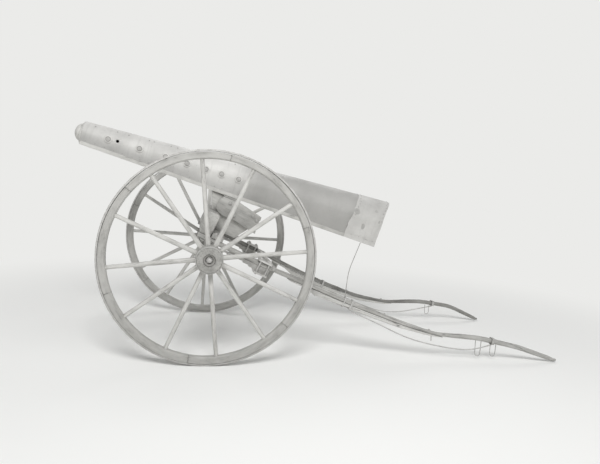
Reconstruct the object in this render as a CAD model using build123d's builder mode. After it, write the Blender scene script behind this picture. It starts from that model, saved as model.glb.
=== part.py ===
"""A two-wheeled sprung cart that carries a long tapered tube, standing on its wheels and shaft tips.

Millimetres. +X runs forward to the shaft tips, +Y across to the far wheel, +Z up. Everything is drawn
with x measured from the axle, and saved with the origin on the ground under the middle of the cart.
"""
import os
from math import cos, pi, radians, sin, sqrt, tan

from build123d import *

os.makedirs("parts", exist_ok=True)

# Place of the axle in the saved pieces, behind the middle of the cart
axle_x = -828

# Wheels
wheel_diameter = 1420
wheel_track = 1436
tyre_thickness = 13
tyre_width = 46
felloe_depth = 50
felloe_width = 48
felloe_chamfer = 8
felloe_count = 6
felloe_joint = 1.2
first_felloe_joint = 21
spoke_count = 12
spoke_root_width = 34
spoke_root_thickness = 44
spoke_tip_width = 28
spoke_tip_thickness = 30
spoke_dish = 26
near_first_spoke = 6.8
far_first_spoke = -1.0
seat_gap = 0.2

# Naves, measured along the axle from the plane of the rim, outward positive
nave_front = 65
nave_back = -175
nave_front_radius = 84
nave_belly_radius = 92
nave_back_radius = 70
nave_mouth_radius = 38
nave_mouth_depth = 45
hoop_thickness = 6
front_hoop_width = 28
back_hoop_width = 24

# Axle
axle_beam = 46
axle_arm_radius = 22
arm_clearance = 0.05
axle_collar_radius = 38
axle_collar_width = 17
axle_stub_radius = 14
washer_thickness = 5
washer_radius = 33
nut_across_flats = 38
nut_thickness = 20
end_float = 0.6

# Bed and shafts: the bed leans forward because the tips of the shafts rest on the ground
bed_slope = 23
shaft_above_axle = 94
shaft_inside_nave = 67
tip_splay = 127
bed_rear = -130
splay_start = 480
shaft_tip_x = 2661
shaft_tip_height = 15
shaft_depth = 34
shaft_front_depth = 38
shaft_width = 44
shaft_tip_width = 36
shaft_bend_radius = 700
shaft_splay_radius = 2500

# Bends of the shafts: x from the axle, rise above a straight line from the bed to the tip, how far one
# shaft has sprung up and the other sagged, and the depth there
shaft_bends = (
    (795, -45.7, 17, shaft_depth),
    (1108, -85.5, 24, shaft_depth),
    (1420, -100.6, 20, shaft_depth),
    (1732, -81.8, 3, shaft_depth),
    (2038, -6.5, -9, shaft_front_depth),
    (2350, 27.4, -18, shaft_front_depth),
)

# Stiffening bars under the shafts: places along the cart and the bar's depth there
bar_width = 38
bar_depths = (
    (560, 3),
    (585, 12),
    (700, 15),
    (770, 42),
    (990, 34),
    (1420, 31),
    (1660, 28),
    (1746, 16),
)

# Springs, one under each shaft, butt end forward, measured along the bed from the axle
leaf_thickness = 9
leaf_width = 50
leaf_rear_ends = (-48, 110, 236, 284, 318)
spring_butt = 431
spring_flat_start = 300
spring_camber_radius = 2380
clip_start = 330
clip_plate_thickness = 12
clip_rod_radius = 6
clip_rod_offset = 33
clip_rod_inset = 18
axle_pad_half_length = 52
u_bolt_radius = 5
u_bolt_offset = 30
u_bolt_bend = 9
u_bolt_gap = 0.5
u_bolt_side_gap = 2.5
axle_plate_thickness = 10

# Plank behind on the shafts, and the bar between the shafts in front, measured along the bed
plank_thickness = 34
plank_overhang = 29
plank_start = -38
plank_end = 48
front_bar_start = 434
front_bar_end = 478
draught_hole_radius = 10

# Bolster over the axle
bolster_start = -128
bolster_end = -42
bolster_height = 161
bolster_overhang = 4
bolster_round = 6

# Cheeks, side panels and spacer under the tube. Corners are (x from the axle, height above the axle).
cheek_inner_face = 84
cheek_thickness = 36
cheek_corners = (
    (54, 278),
    (43, 303),
    (50, 333),
    (70, 370),
    (98, 391),
    (224, 351),
    (315, 295),
    (393, 249),
    (350, 118),
    (296, 147),
    (176, 219),
    (95, 246),
)
panel_thickness = 36
panel_rear = -104
panel_foot_end = 150
panel_front_low = (296, 147)
panel_front_high = (296, 270)
panel_top_front = 205
spacer_start = 90
spacer_end = 150
spacer_height = 244

# Tube: a sheet skin over a base board and end boards, measured along the tube from its small end
tube_slope = 13.48
tube_small_end_x = -943
tube_small_end_above_axle = 793
tube_length = 2368
tube_small_height = 176
tube_large_height = 380
tube_small_half_width = 86
tube_large_half_width = 182
tube_foot_ratio = 0.84
skin_thickness = 4
base_board_thickness = 42
base_board_lip = 3
end_board_thickness = 28
end_board_inset = 6
cap_radius = 63
cap_neck = 30
cap_bulge = 33
cap_hoop_thickness = 5
cap_hoop_width = 20
end_sheet_length = 256
end_sheet_thickness = 2.5
boss_radius = 27
boss_height = 7
boss_nut_across = 26
boss_nut_height = 7
boss_stations = (199, 429, 623, 785, 929, 1050, 1183)
peep_hole_station = 262
peep_hole_rise = 13
peep_hole_radius = 11

# Iron bands round the shafts where the traces hook on, by x from the axle
trace_bands = {"near": 2140, "far": 2166}
trace_ties = {"near": 1045, "far": 1060}
tie_width = 34
tie_thickness = 6
tie_fit = 1
band_width = 24
band_thickness = 4
band_fit = 0.8

# Traces: ropes that hang under the shafts from a tie to a band. Points are (x from the axle, height).
trace_radius = 5
trace_points = {
    "near": (
        (1045, 335),
        (1145, 294),
        (1244, 254),
        (1344, 209),
        (1443, 167),
        (1543, 135),
        (1642, 113),
        (1742, 95),
        (1841, 81),
        (1941, 75),
        (2040, 88),
        (2138, 120.6),
    ),
    "far": (
        (1060, 283),
        (1161, 241),
        (1261, 207),
        (1362, 173),
        (1462, 141),
        (1563, 108),
        (1663, 85),
        (1764, 79),
        (1864, 86),
        (1965, 103),
        (2065, 123),
        (2164, 140.8),
    ),
}

# Cord loops that hang from the shafts: name, side, x from the axle, height of the bottom
loop_radius = 2.75
loop_half_width = 22
loop_bend = 19
loop_inset = 12
loop_gap = 0.9
loops = (
    ("near_rear_loop", -1, 2046, 30),
    ("near_front_loop", -1, 2196, 26),
    ("far_loop", 1, 2112, 68),
)

axle_height = wheel_diameter / 2
half_track = wheel_track / 2
bed_shaft_spread = half_track + nave_back - shaft_inside_nave
tip_shaft_spread = bed_shaft_spread + tip_splay
rim_outer_radius = axle_height - tyre_thickness - seat_gap
rim_inner_radius = rim_outer_radius - felloe_depth
shaft_top = shaft_above_axle + shaft_depth / 2
shaft_bottom = shaft_above_axle - shaft_depth / 2
plank_top = shaft_top + plank_thickness

bed = Plane(
    origin=(0, 0, axle_height),
    x_dir=(cos(radians(bed_slope)), 0, -sin(radians(bed_slope))),
    z_dir=(0, -1, 0),
)
tube_plane = Plane(
    origin=(tube_small_end_x, 0, axle_height + tube_small_end_above_axle),
    x_dir=(0, 1, 0),
    z_dir=(cos(radians(tube_slope)), 0, -sin(radians(tube_slope))),
)
sides = (("near", -1), ("far", 1))


def save(piece, label):
    """Name a finished piece and write it to its own file."""
    placed = piece.part.moved(Location((axle_x, 0, 0)))
    placed.label = label
    export_step(placed, f"parts/{label}.step")


def wheel_plane(side):
    """Plane through the axle line: x is the radius and y runs outward along the axle."""
    return Plane(origin=(0, side * half_track, axle_height), x_dir=(1, 0, 0), z_dir=(0, 0, side))


def axle_plane(side):
    """Plane of the rim, facing outward along the axle."""
    return Plane(origin=(0, side * half_track, axle_height), x_dir=(1, 0, 0), z_dir=(0, side, 0))


def turned(side, outline):
    """Solid turned about the axle line from (radius, distance outward) corners."""
    with BuildPart() as piece:
        with BuildSketch(wheel_plane(side)):
            with BuildLine():
                Polyline(*outline, close=True)
            make_face()
        revolve(axis=Axis((0, 0, axle_height), (0, 1, 0)))
    return piece


def bed_board(outline, y_low, y_high):
    """Board cut to an outline in the bed's own side view, between two distances across."""
    with BuildPart() as piece:
        with BuildSketch(bed.offset(-y_high)):
            with BuildLine():
                Polyline(*outline, close=True)
            make_face()
        extrude(amount=y_high - y_low)
    return piece


def to_world(along, above):
    """Side-view place (x, z) of a point given along and above the bed, from the axle."""
    slope = radians(bed_slope)
    return (along * cos(slope) + above * sin(slope), axle_height - along * sin(slope) + above * cos(slope))


def to_bed(x, z):
    """The reverse of to_world."""
    slope = radians(bed_slope)
    rise = z - axle_height
    return (x * cos(slope) - rise * sin(slope), x * sin(slope) + rise * cos(slope))


# Tyres, felloes, naves and hoops
def make_tyre(side):
    """Iron tyre, shrunk on to the felloes."""
    half = tyre_width / 2
    edge = tyre_thickness / 4
    outline = [
        (axle_height - tyre_thickness, -half),
        (axle_height - edge, -half),
        (axle_height, edge - half),
        (axle_height, half - edge),
        (axle_height - edge, half),
        (axle_height - tyre_thickness, half),
    ]
    return turned(side, outline)


def make_felloes(side):
    """Six bent felloes with chamfered inner edges and open joints between them."""
    half = felloe_width / 2
    ring = turned(
        side,
        [
            (rim_inner_radius + felloe_chamfer, -half),
            (rim_outer_radius, -half),
            (rim_outer_radius, half),
            (rim_inner_radius + felloe_chamfer, half),
            (rim_inner_radius, half - felloe_chamfer),
            (rim_inner_radius, felloe_chamfer - half),
        ],
    )
    with BuildPart() as felloes:
        add(ring.part)
        with BuildSketch(axle_plane(side).offset(-felloe_width)):
            with PolarLocations(rim_outer_radius, felloe_count, start_angle=first_felloe_joint):
                Rectangle(4 * felloe_depth, felloe_joint)
        extrude(amount=2 * felloe_width, mode=Mode.SUBTRACT)
    return felloes


def make_spokes(side, first_angle):
    """Oval tapered spokes, dished so that the rim stands outboard of their roots."""
    root_radius = nave_belly_radius - spoke_root_width / 2
    tip_radius = rim_inner_radius + felloe_chamfer
    reach = turned(
        side,
        [
            (nave_belly_radius + seat_gap, -wheel_track / 8),
            (rim_inner_radius - seat_gap, -wheel_track / 8),
            (rim_inner_radius - seat_gap, wheel_track / 8),
            (nave_belly_radius + seat_gap, wheel_track / 8),
        ],
    )
    with BuildPart() as spokes:
        for count in range(spoke_count):
            angle = radians(first_angle + count * 360 / spoke_count)
            outward = Vector(cos(angle), 0, sin(angle))
            across = Vector(-sin(angle), 0, cos(angle))
            centre = Vector(0, side * half_track, axle_height)
            root = centre + outward * root_radius - Vector(0, side * spoke_dish, 0)
            tip = centre + outward * tip_radius
            direction = tip - root
            with BuildSketch(Plane(origin=root, x_dir=across, z_dir=direction)):
                RectangleRounded(spoke_root_width, spoke_root_thickness, spoke_root_width * 0.45)
            with BuildSketch(Plane(origin=tip, x_dir=across, z_dir=direction)):
                RectangleRounded(spoke_tip_width, spoke_tip_thickness, spoke_tip_width * 0.45)
            loft(ruled=True)
        add(reach.part, mode=Mode.INTERSECT)
    return spokes


def make_nave(side):
    """Turned elm nave: barrel with a belly for the spokes, a bore and a mouth for the axle nut."""
    bore = axle_arm_radius + arm_clearance
    belly_back = -spoke_dish - spoke_root_thickness / 2 - hoop_thickness
    belly_front = belly_back + spoke_root_thickness + 2 * hoop_thickness
    back_hoop_front = nave_back + back_hoop_width
    front_hoop_back = nave_front - front_hoop_width
    with BuildPart() as nave:
        with BuildSketch(wheel_plane(side)):
            with BuildLine():
                Polyline(
                    (nave_belly_radius, belly_back),
                    (nave_belly_radius, belly_front),
                    (nave_front_radius, front_hoop_back),
                    (nave_front_radius, nave_front),
                    (nave_mouth_radius, nave_front),
                    (nave_mouth_radius, nave_front - nave_mouth_depth),
                    (bore, nave_front - nave_mouth_depth),
                    (bore, nave_back),
                    (nave_back_radius, nave_back),
                    (nave_back_radius, back_hoop_front),
                )
                ThreePointArc(
                    (nave_back_radius, back_hoop_front),
                    (
                        nave_back_radius + 0.66 * (nave_belly_radius - nave_back_radius),
                        (back_hoop_front + belly_back) / 2,
                    ),
                    (nave_belly_radius, belly_back),
                )
            make_face()
        revolve(axis=Axis((0, 0, axle_height), (0, 1, 0)))
    return nave


def make_hoops(side):
    """Front and back iron hoops of a nave."""
    with BuildPart() as hoops:
        for radius, back, width in (
            (nave_front_radius, nave_front - front_hoop_width, front_hoop_width),
            (nave_back_radius, nave_back, back_hoop_width),
        ):
            with BuildSketch(axle_plane(side).offset(back)):
                Circle(radius + seat_gap + hoop_thickness)
                Circle(radius + seat_gap, mode=Mode.SUBTRACT)
            extrude(amount=width)
    return hoops


for name, side in sides:
    first_spoke = near_first_spoke if side < 0 else far_first_spoke
    save(make_tyre(side), f"{name}_tyre")
    save(make_felloes(side), f"{name}_felloes")
    save(make_spokes(side, first_spoke), f"{name}_spokes")
    save(make_nave(side), f"{name}_nave")
    save(make_hoops(side), f"{name}_nave_hoops")

# Axle: a square beam with a collar, a round arm and a threaded stub at each end
collar_face = half_track + nave_back - end_float
arm_end = half_track + nave_front - nave_mouth_depth + end_float
nut_end = arm_end + washer_thickness + nut_thickness
with BuildPart() as axle:
    with BuildSketch(bed.offset(-collar_face)):
        Rectangle(axle_beam, axle_beam)
    extrude(amount=2 * collar_face)
    for name, side in sides:
        centre_plane = Plane(origin=(0, 0, axle_height), x_dir=(1, 0, 0), z_dir=(0, side, 0))
        for radius, start, end in (
            (axle_collar_radius, collar_face - axle_collar_width, collar_face),
            (axle_arm_radius, collar_face, arm_end),
            (axle_stub_radius, arm_end, nut_end + axle_stub_radius / 2),
        ):
            with BuildSketch(centre_plane.offset(start)):
                Circle(radius)
            extrude(amount=end - start)
save(axle, "axle")

for name, side in sides:
    with BuildPart() as axle_nut:
        with BuildSketch(Plane(origin=(0, side * arm_end, axle_height), x_dir=(1, 0, 0), z_dir=(0, side, 0))):
            Circle(washer_radius)
            Circle(axle_stub_radius + arm_clearance, mode=Mode.SUBTRACT)
        extrude(amount=washer_thickness)
        with BuildSketch(
            Plane(
                origin=(0, side * (arm_end + washer_thickness), axle_height),
                x_dir=(1, 0, 0),
                z_dir=(0, side, 0),
            )
        ):
            RegularPolygon(nut_across_flats / 2, 6, major_radius=False)
            Circle(axle_stub_radius + arm_clearance, mode=Mode.SUBTRACT)
        extrude(amount=nut_thickness)
    save(axle_nut, f"{name}_axle_nut")

# Shafts. Stations are (x, centre height, how far this shaft has sprung up or sagged, depth).
splay_along = (splay_start - shaft_above_axle * sin(radians(bed_slope))) / cos(radians(bed_slope))
bed_front_x, bed_front_height = to_world(splay_along, shaft_above_axle)
fall = (shaft_tip_height - bed_front_height) / (shaft_tip_x - bed_front_x)
shaft_stations = (
    (*to_world(bed_rear, shaft_above_axle), 0, shaft_depth),
    (bed_front_x, bed_front_height, 0, shaft_depth),
    *[
        (x, bed_front_height + fall * (x - bed_front_x) + rise, warp, depth)
        for x, rise, warp, depth in shaft_bends
    ],
    (shaft_tip_x, shaft_tip_height, 0, shaft_depth),
)


def shaft_edge(side, part_way):
    """Corners of a line that follows a shaft at part_way times its half depth, in side view."""
    centres = [Vector(x, height - side * warp) for x, height, warp, depth in shaft_stations]
    depths = [depth for x, height, warp, depth in shaft_stations]
    corners = []
    for index, centre in enumerate(centres):
        before = centres[max(index - 1, 0)]
        after = centres[min(index + 1, len(centres) - 1)]
        along = (after - before).normalized()
        upward = Vector(-along.Y, along.X)
        if 0 < index < len(centres) - 1:
            half_turn = radians((after - centre).get_angle(centre - before) / 2)
            along = ((after - centre).normalized() + (centre - before).normalized()).normalized()
            upward = Vector(-along.Y, along.X) / cos(half_turn)
        corners.append(centre + upward * (part_way * depths[index] / 2))
    return corners


def side_view(y):
    """Upright plane along the cart at a distance across, drawn in x and height."""
    return Plane(origin=(0, y, 0), x_dir=(1, 0, 0), z_dir=(0, -1, 0))


def bent_edge(corners):
    """Line through corners with round bends."""
    return FilletPolyline(*corners, radius=shaft_bend_radius)


def shaft_plan(side, rear_width, tip_width):
    """Upright block with a shaft's plan: straight over the bed, then splayed out to the tip."""
    rear_x = shaft_stations[0][0] - shaft_depth
    tip_x = shaft_stations[-1][0] + shaft_depth
    with BuildPart() as plan:
        with BuildSketch(Plane.XY):
            with BuildLine():
                edges = []
                for face_side in (-1, 1):
                    edges.append(
                        FilletPolyline(
                            (rear_x, side * bed_shaft_spread + face_side * rear_width / 2),
                            (splay_start, side * bed_shaft_spread + face_side * rear_width / 2),
                            (tip_x, side * tip_shaft_spread + face_side * tip_width / 2),
                            radius=shaft_splay_radius,
                        )
                    )
                Line(edges[0] @ 0, edges[1] @ 0)
                Line(edges[0] @ 1, edges[1] @ 1)
            make_face()
        extrude(amount=wheel_diameter)
    return plan


def make_shaft(side):
    """Bent ash shaft: its side view cut square across, then sawn to its splayed plan."""
    top = shaft_edge(side, 1)
    bottom = shaft_edge(side, -1)
    with BuildPart() as shaft:
        with BuildSketch(side_view(1.5 * tip_shaft_spread)):
            with BuildLine():
                upper = bent_edge(top)
                lower = bent_edge(bottom)
                Line(upper @ 0, lower @ 0)
                Line(upper @ 1, lower @ 1)
            make_face()
        extrude(amount=3 * tip_shaft_spread)
        add(shaft_plan(side, shaft_width, shaft_tip_width).part, mode=Mode.INTERSECT)
        split(bisect_by=Plane.XY, keep=Keep.TOP)
    return shaft


shafts = {}
for name, side in sides:
    shafts[name] = make_shaft(side)
    save(shafts[name], f"{name}_shaft")


def height_on(corners, x):
    """Height of a line of corners at a distance along the cart."""
    for before, after in zip(corners, corners[1:]):
        if before.X <= x <= after.X:
            return before.Y + (after.Y - before.Y) * (x - before.X) / (after.X - before.X)
    return None


def make_bar(side):
    """Stiffening bar that follows the underside of a shaft and tapers out at both ends."""
    underside = shaft_edge(side, -1)
    lower = [(x, height_on(underside, x) - depth) for x, depth in bar_depths]
    first_x, last_x = lower[0][0], lower[-1][0]
    with BuildPart() as bar:
        with BuildSketch(side_view(1.5 * tip_shaft_spread)):
            with BuildLine():
                Polyline((first_x, wheel_diameter), *lower, (last_x, wheel_diameter), close=True)
            make_face()
            with BuildLine():
                edge = bent_edge([corner - Vector(0, seat_gap) for corner in underside])
                start, end = edge @ 0, edge @ 1
                Polyline(start, (start.X, 2 * wheel_diameter), (end.X, 2 * wheel_diameter), end)
            make_face(mode=Mode.SUBTRACT)
        extrude(amount=3 * tip_shaft_spread)
        add(shaft_plan(side, bar_width, bar_width).part, mode=Mode.INTERSECT)
    return bar


for name, side in sides:
    save(make_bar(side), f"{name}_shaft_bar")


# Springs with their clips and pads
def bed_cross(along, above):
    """Plane across the bed at a place along and above it, facing up from the bed."""
    x, z = to_world(along, above)
    slope = radians(bed_slope)
    return Plane(origin=(x, 0, z), x_dir=(cos(slope), 0, -sin(slope)), z_dir=(sin(slope), 0, cos(slope)))


spring_centre_height = shaft_bottom - spring_camber_radius


def leaf_point(radius, along):
    """Point on a curved leaf face of a given radius at a distance along the bed."""
    run = spring_flat_start - along
    return (along, spring_centre_height + sqrt(radius**2 - run**2))


def make_spring(y):
    """Quarter spring of stacked leaves, flat at its butt and bent down to the axle behind."""
    with BuildPart() as spring:
        with BuildSketch(bed.offset(-y - leaf_width / 2)):
            for index, rear_end in enumerate(leaf_rear_ends):
                top_radius = spring_camber_radius - index * leaf_thickness
                low_radius = top_radius - leaf_thickness
                flat_start = max(spring_flat_start, rear_end)
                top = shaft_bottom - index * leaf_thickness
                with BuildLine():
                    if rear_end < spring_flat_start:
                        middle = (rear_end + spring_flat_start) / 2
                        ThreePointArc(
                            leaf_point(top_radius, rear_end),
                            leaf_point(top_radius, middle),
                            (spring_flat_start, top),
                        )
                        ThreePointArc(
                            leaf_point(low_radius, rear_end),
                            leaf_point(low_radius, middle),
                            (spring_flat_start, top - leaf_thickness),
                        )
                        Line(leaf_point(top_radius, rear_end), leaf_point(low_radius, rear_end))
                    else:
                        Line((flat_start, top), (flat_start, top - leaf_thickness))
                    Line((flat_start, top), (spring_butt, top))
                    Line((flat_start, top - leaf_thickness), (spring_butt, top - leaf_thickness))
                    Line((spring_butt, top), (spring_butt, top - leaf_thickness))
                make_face()
        extrude(amount=leaf_width)
    return spring


stack_bottom = shaft_bottom - len(leaf_rear_ends) * leaf_thickness
clip_rods = [
    (along, across)
    for along in (clip_start + clip_rod_inset, spring_butt - clip_rod_inset)
    for across in (-clip_rod_offset, clip_rod_offset)
]


def make_clip(y):
    """Clip round the butt of a spring and its shaft: a plate below, a plate above and four rods with nuts."""
    half_width = clip_rod_offset + 2 * clip_rod_radius
    clip_middle = (clip_start + spring_butt) / 2
    low_plate = stack_bottom - clip_plate_thickness
    nut_seat = shaft_top + seat_gap + clip_plate_thickness
    with BuildPart() as clip:
        for plate_foot in (low_plate, shaft_top + seat_gap):
            with BuildSketch(bed_cross(0, plate_foot)):
                with Locations((clip_middle, y)):
                    RectangleRounded(spring_butt - clip_start, 2 * half_width, clip_rod_radius)
            extrude(amount=clip_plate_thickness)
        with BuildSketch(bed_cross(0, low_plate - clip_rod_radius)):
            with Locations(*[(along, y + across) for along, across in clip_rods]):
                Circle(clip_rod_radius)
        extrude(amount=nut_seat - low_plate + 3.5 * clip_rod_radius)
        with BuildSketch(bed_cross(0, nut_seat)):
            with Locations(*[(along, y + across) for along, across in clip_rods]):
                RegularPolygon(2 * clip_rod_radius, 6)
        extrude(amount=1.5 * clip_rod_radius)
    return clip


def make_pad(y):
    """Wooden pad between the axle and the tail of a spring."""
    low_radius = spring_camber_radius - leaf_thickness - seat_gap
    top_rear = leaf_point(low_radius, -axle_pad_half_length)
    top_front = leaf_point(low_radius, axle_pad_half_length)
    with BuildPart() as pad:
        with BuildSketch(bed.offset(-y - leaf_width / 2)):
            with BuildLine():
                Polyline(
                    top_rear,
                    (-axle_pad_half_length, axle_beam / 2),
                    (axle_pad_half_length, axle_beam / 2),
                    top_front,
                )
                ThreePointArc(top_rear, leaf_point(low_radius, 0), top_front)
            make_face()
        extrude(amount=leaf_width)
        with BuildSketch(bed_cross(0, 0)):
            with Locations(*[(along, y) for along in (-u_bolt_offset, u_bolt_offset)]):
                Rectangle(2 * (u_bolt_radius + seat_gap), 2 * leaf_width)
        extrude(amount=axle_beam / 2, mode=Mode.SUBTRACT)
    return pad


def make_u_bolts(y):
    """Two bolts bent over the tail of a spring, through a plate under the axle."""
    half_width = leaf_width / 2 + u_bolt_radius + u_bolt_side_gap
    low = -axle_beam / 2 - axle_plate_thickness - 2 * u_bolt_radius
    with BuildPart() as bolts:
        for along in (-u_bolt_offset, u_bolt_offset):
            leaf_top = leaf_point(spring_camber_radius, along + u_bolt_radius)[1]
            crown = leaf_top + u_bolt_radius + u_bolt_gap
            origin_x, origin_z = to_world(along, 0)
            slope = radians(bed_slope)
            across = Plane(origin=(origin_x, y, origin_z), x_dir=(0, 1, 0), z_dir=(cos(slope), 0, -sin(slope)))
            with BuildLine(across) as route:
                FilletPolyline(
                    (-half_width, low),
                    (-half_width, crown),
                    (half_width, crown),
                    (half_width, low),
                    radius=u_bolt_bend,
                )
            with BuildSketch(bed_cross(0, low)):
                with Locations((along, y - half_width)):
                    Circle(u_bolt_radius)
            sweep(path=route.wires()[0])
        with BuildSketch(bed_cross(0, -axle_beam / 2)):
            with Locations((0, y)):
                RectangleRounded(2 * axle_pad_half_length, 2 * half_width + 4 * u_bolt_radius, u_bolt_radius)
        extrude(amount=-axle_plate_thickness)
    return bolts


for name, side in sides:
    spring_line = side * bed_shaft_spread
    save(make_spring(spring_line), f"{name}_spring")
    save(make_clip(spring_line), f"{name}_spring_clip")
    save(make_pad(spring_line), f"{name}_spring_pad")
    save(make_u_bolts(spring_line), f"{name}_axle_clip")

# Plank on the rear of the shafts, bar tenoned between them in front, and bolster over the axle
with BuildPart() as rear_plank:
    with BuildSketch(bed_cross(0, shaft_top)):
        with Locations(((plank_start + plank_end) / 2, 0)):
            Rectangle(plank_end - plank_start, 2 * (bed_shaft_spread + plank_overhang))
    extrude(amount=plank_thickness)
save(rear_plank, "rear_plank")

front_bar_width = front_bar_end - front_bar_start
front_bar_half_span = bed_shaft_spread - shaft_width / 2 - seat_gap
with BuildPart() as front_bar:
    with BuildSketch(bed_cross(0, shaft_bottom)):
        with Locations((front_bar_start + front_bar_width / 2, 0)):
            Rectangle(front_bar_width, 2 * front_bar_half_span)
            Circle(draught_hole_radius, mode=Mode.SUBTRACT)
    extrude(amount=shaft_depth)
save(front_bar, "front_bar")

with BuildPart() as bolster:
    with BuildSketch(bed_cross(0, shaft_top)):
        with Locations(((bolster_start + bolster_end) / 2, 0)):
            Rectangle(bolster_end - bolster_start, 2 * (bed_shaft_spread + bolster_overhang))
    extrude(amount=bolster_height)
    chamfer(bolster.edges().filter_by(Axis.Y).group_by(SortBy.LENGTH)[-1].sort_by(Axis.Z)[-2:], bolster_round)
save(bolster, "bolster")


# Tube sections
def tube_size(station):
    """Half height and half width of the tube at a distance along it."""
    part_way = station / tube_length
    height = tube_small_height + part_way * (tube_large_height - tube_small_height)
    half_width = tube_small_half_width + part_way * (tube_large_half_width - tube_small_half_width)
    return height / 2, half_width


def tube_piece(start, end, growth):
    """Core of the tube above the base board: round crown and sides that tuck in to the foot."""
    with BuildPart() as core:
        for station in (start, end):
            half_height, half_width = tube_size(station)
            spring_line = half_height - half_width
            foot = base_board_thickness - half_height
            part_down = (spring_line - foot) / (spring_line + half_height)
            foot_half = half_width * (1 - part_down * (1 - tube_foot_ratio)) + growth
            wide = half_width + growth
            with BuildSketch(tube_plane.offset(station)):
                with BuildLine():
                    ThreePointArc((-wide, spring_line), (0, half_height + growth), (wide, spring_line))
                    Polyline((wide, spring_line), (foot_half, foot), (-foot_half, foot), (-wide, spring_line))
                make_face()
        loft(ruled=True)
    return core


def tube_shell(start, end, outer, inner):
    """Open-bottomed sheet between two growths of the tube's section."""
    with BuildPart() as shell:
        add(tube_piece(start, end, outer).part)
        add(tube_piece(start - 1, end + 1, inner).part, mode=Mode.SUBTRACT)
    return shell


def tube_underside(x):
    """Height of the underside of the base board at a distance along the cart."""
    ends = []
    for station in (0, tube_length):
        corner = tube_plane.offset(station).from_local_coords(Vector(0, -tube_size(station)[0], 0))
        ends.append(corner)
    return ends[0].Z + (ends[1].Z - ends[0].Z) * (x - ends[0].X) / (ends[1].X - ends[0].X)


with BuildPart() as tube_skin:
    add(tube_shell(0, tube_length, 0, -skin_thickness).part)
    hole_place = tube_plane.from_local_coords(Vector(0, peep_hole_rise, peep_hole_station))
    with BuildSketch(side_view(0)):
        with Locations((hole_place.X, hole_place.Z)):
            Circle(peep_hole_radius)
    extrude(amount=tube_large_half_width, mode=Mode.SUBTRACT)
save(tube_skin, "tube_skin")

with BuildPart() as base_board:
    for station in (0, tube_length):
        half_height, half_width = tube_size(station)
        with BuildSketch(tube_plane.offset(station)):
            with Locations((0, base_board_thickness / 2 - half_height)):
                Rectangle(2 * (half_width * tube_foot_ratio + base_board_lip), base_board_thickness)
    loft(ruled=True)
save(base_board, "tube_base_board")

small_board_start = 0
large_board_start = tube_length - end_board_inset - end_board_thickness
for label, start in (("tube_small_end", small_board_start), ("tube_large_end", large_board_start)):
    save(tube_piece(start, start + end_board_thickness, -skin_thickness - seat_gap), label)

save(
    tube_shell(
        tube_length - end_sheet_length,
        tube_length,
        seat_gap + end_sheet_thickness,
        seat_gap,
    ),
    "tube_end_sheet",
)

# Turned cap on the small end, with a domed face, and the hoop round its neck
cap_plane = tube_plane
dome_radius = (cap_radius**2 + cap_bulge**2) / (2 * cap_bulge)
dome_middle = cap_radius / 2
dome_middle_height = cap_neck + cap_bulge - dome_radius + sqrt(dome_radius**2 - dome_middle**2)
with BuildPart() as tube_cap:
    with BuildSketch(Plane(origin=cap_plane.origin, x_dir=(0, 1, 0), z_dir=cap_plane.y_dir)):
        with BuildLine():
            Polyline((0, cap_neck + cap_bulge), (0, 0), (cap_radius, 0), (cap_radius, cap_neck))
            ThreePointArc(
                (cap_radius, cap_neck),
                (dome_middle, dome_middle_height),
                (0, cap_neck + cap_bulge),
            )
        make_face()
    revolve(axis=Axis(cap_plane.origin, cap_plane.z_dir))
save(tube_cap, "tube_cap")

with BuildPart() as cap_hoop:
    with BuildSketch(cap_plane.offset(-cap_hoop_width)):
        Circle(cap_radius + seat_gap + cap_hoop_thickness)
        Circle(cap_radius + seat_gap, mode=Mode.SUBTRACT)
    extrude(amount=cap_hoop_width)
save(cap_hoop, "tube_cap_hoop")

# Bosses down both sides of the tube
with BuildPart() as tube_bosses:
    for station in boss_stations:
        half_height, half_width = tube_size(station)
        place = tube_plane.from_local_coords(Vector(0, 0, station))
        for name, side in sides:
            for inner, height, across in (
                (-boss_radius, boss_height, None),
                (boss_height, boss_height + boss_nut_height, boss_nut_across),
            ):
                y = half_width + inner
                with BuildSketch(Plane(origin=(place.X, side * y, place.Z), x_dir=(1, 0, 0), z_dir=(0, side, 0))):
                    if across:
                        RegularPolygon(across / 2, 6, major_radius=False)
                    else:
                        Circle(boss_radius)
                extrude(amount=height - inner)
    add(tube_piece(0, tube_length, seat_gap).part, mode=Mode.SUBTRACT)
save(tube_bosses, "tube_bosses")


# Side panels, cheeks, spacer and saddles between the bed and the tube
def upright(corners, y_low, y_high):
    """Board drawn in x and height, between two distances across."""
    with BuildPart() as board:
        with BuildSketch(side_view(y_high)):
            with BuildLine():
                Polyline(*corners, close=True)
            make_face()
        extrude(amount=y_high - y_low)
    return board


cheek_outline = [(x, axle_height + rise) for x, rise in cheek_corners]
bolster_top = shaft_top + bolster_height
rear_foot = to_world(panel_rear, bolster_top)
panel_outline = (
    to_world(bolster_end, plank_top),
    to_world(panel_foot_end, plank_top),
    (panel_front_low[0], axle_height + panel_front_low[1]),
    (panel_front_high[0], axle_height + panel_front_high[1]),
    (panel_top_front, tube_underside(panel_top_front)),
    (rear_foot[0], tube_underside(rear_foot[0])),
    rear_foot,
    to_world(bolster_end, bolster_top),
)
for name, side in sides:
    for label, inner, thickness, corners in (
        ("side_panel", cheek_inner_face - panel_thickness, panel_thickness, panel_outline),
        ("cheek", cheek_inner_face, cheek_thickness, cheek_outline),
    ):
        low, high = sorted((side * inner, side * (inner + thickness)))
        save(upright(corners, low, high), f"{name}_{label}")

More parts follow.
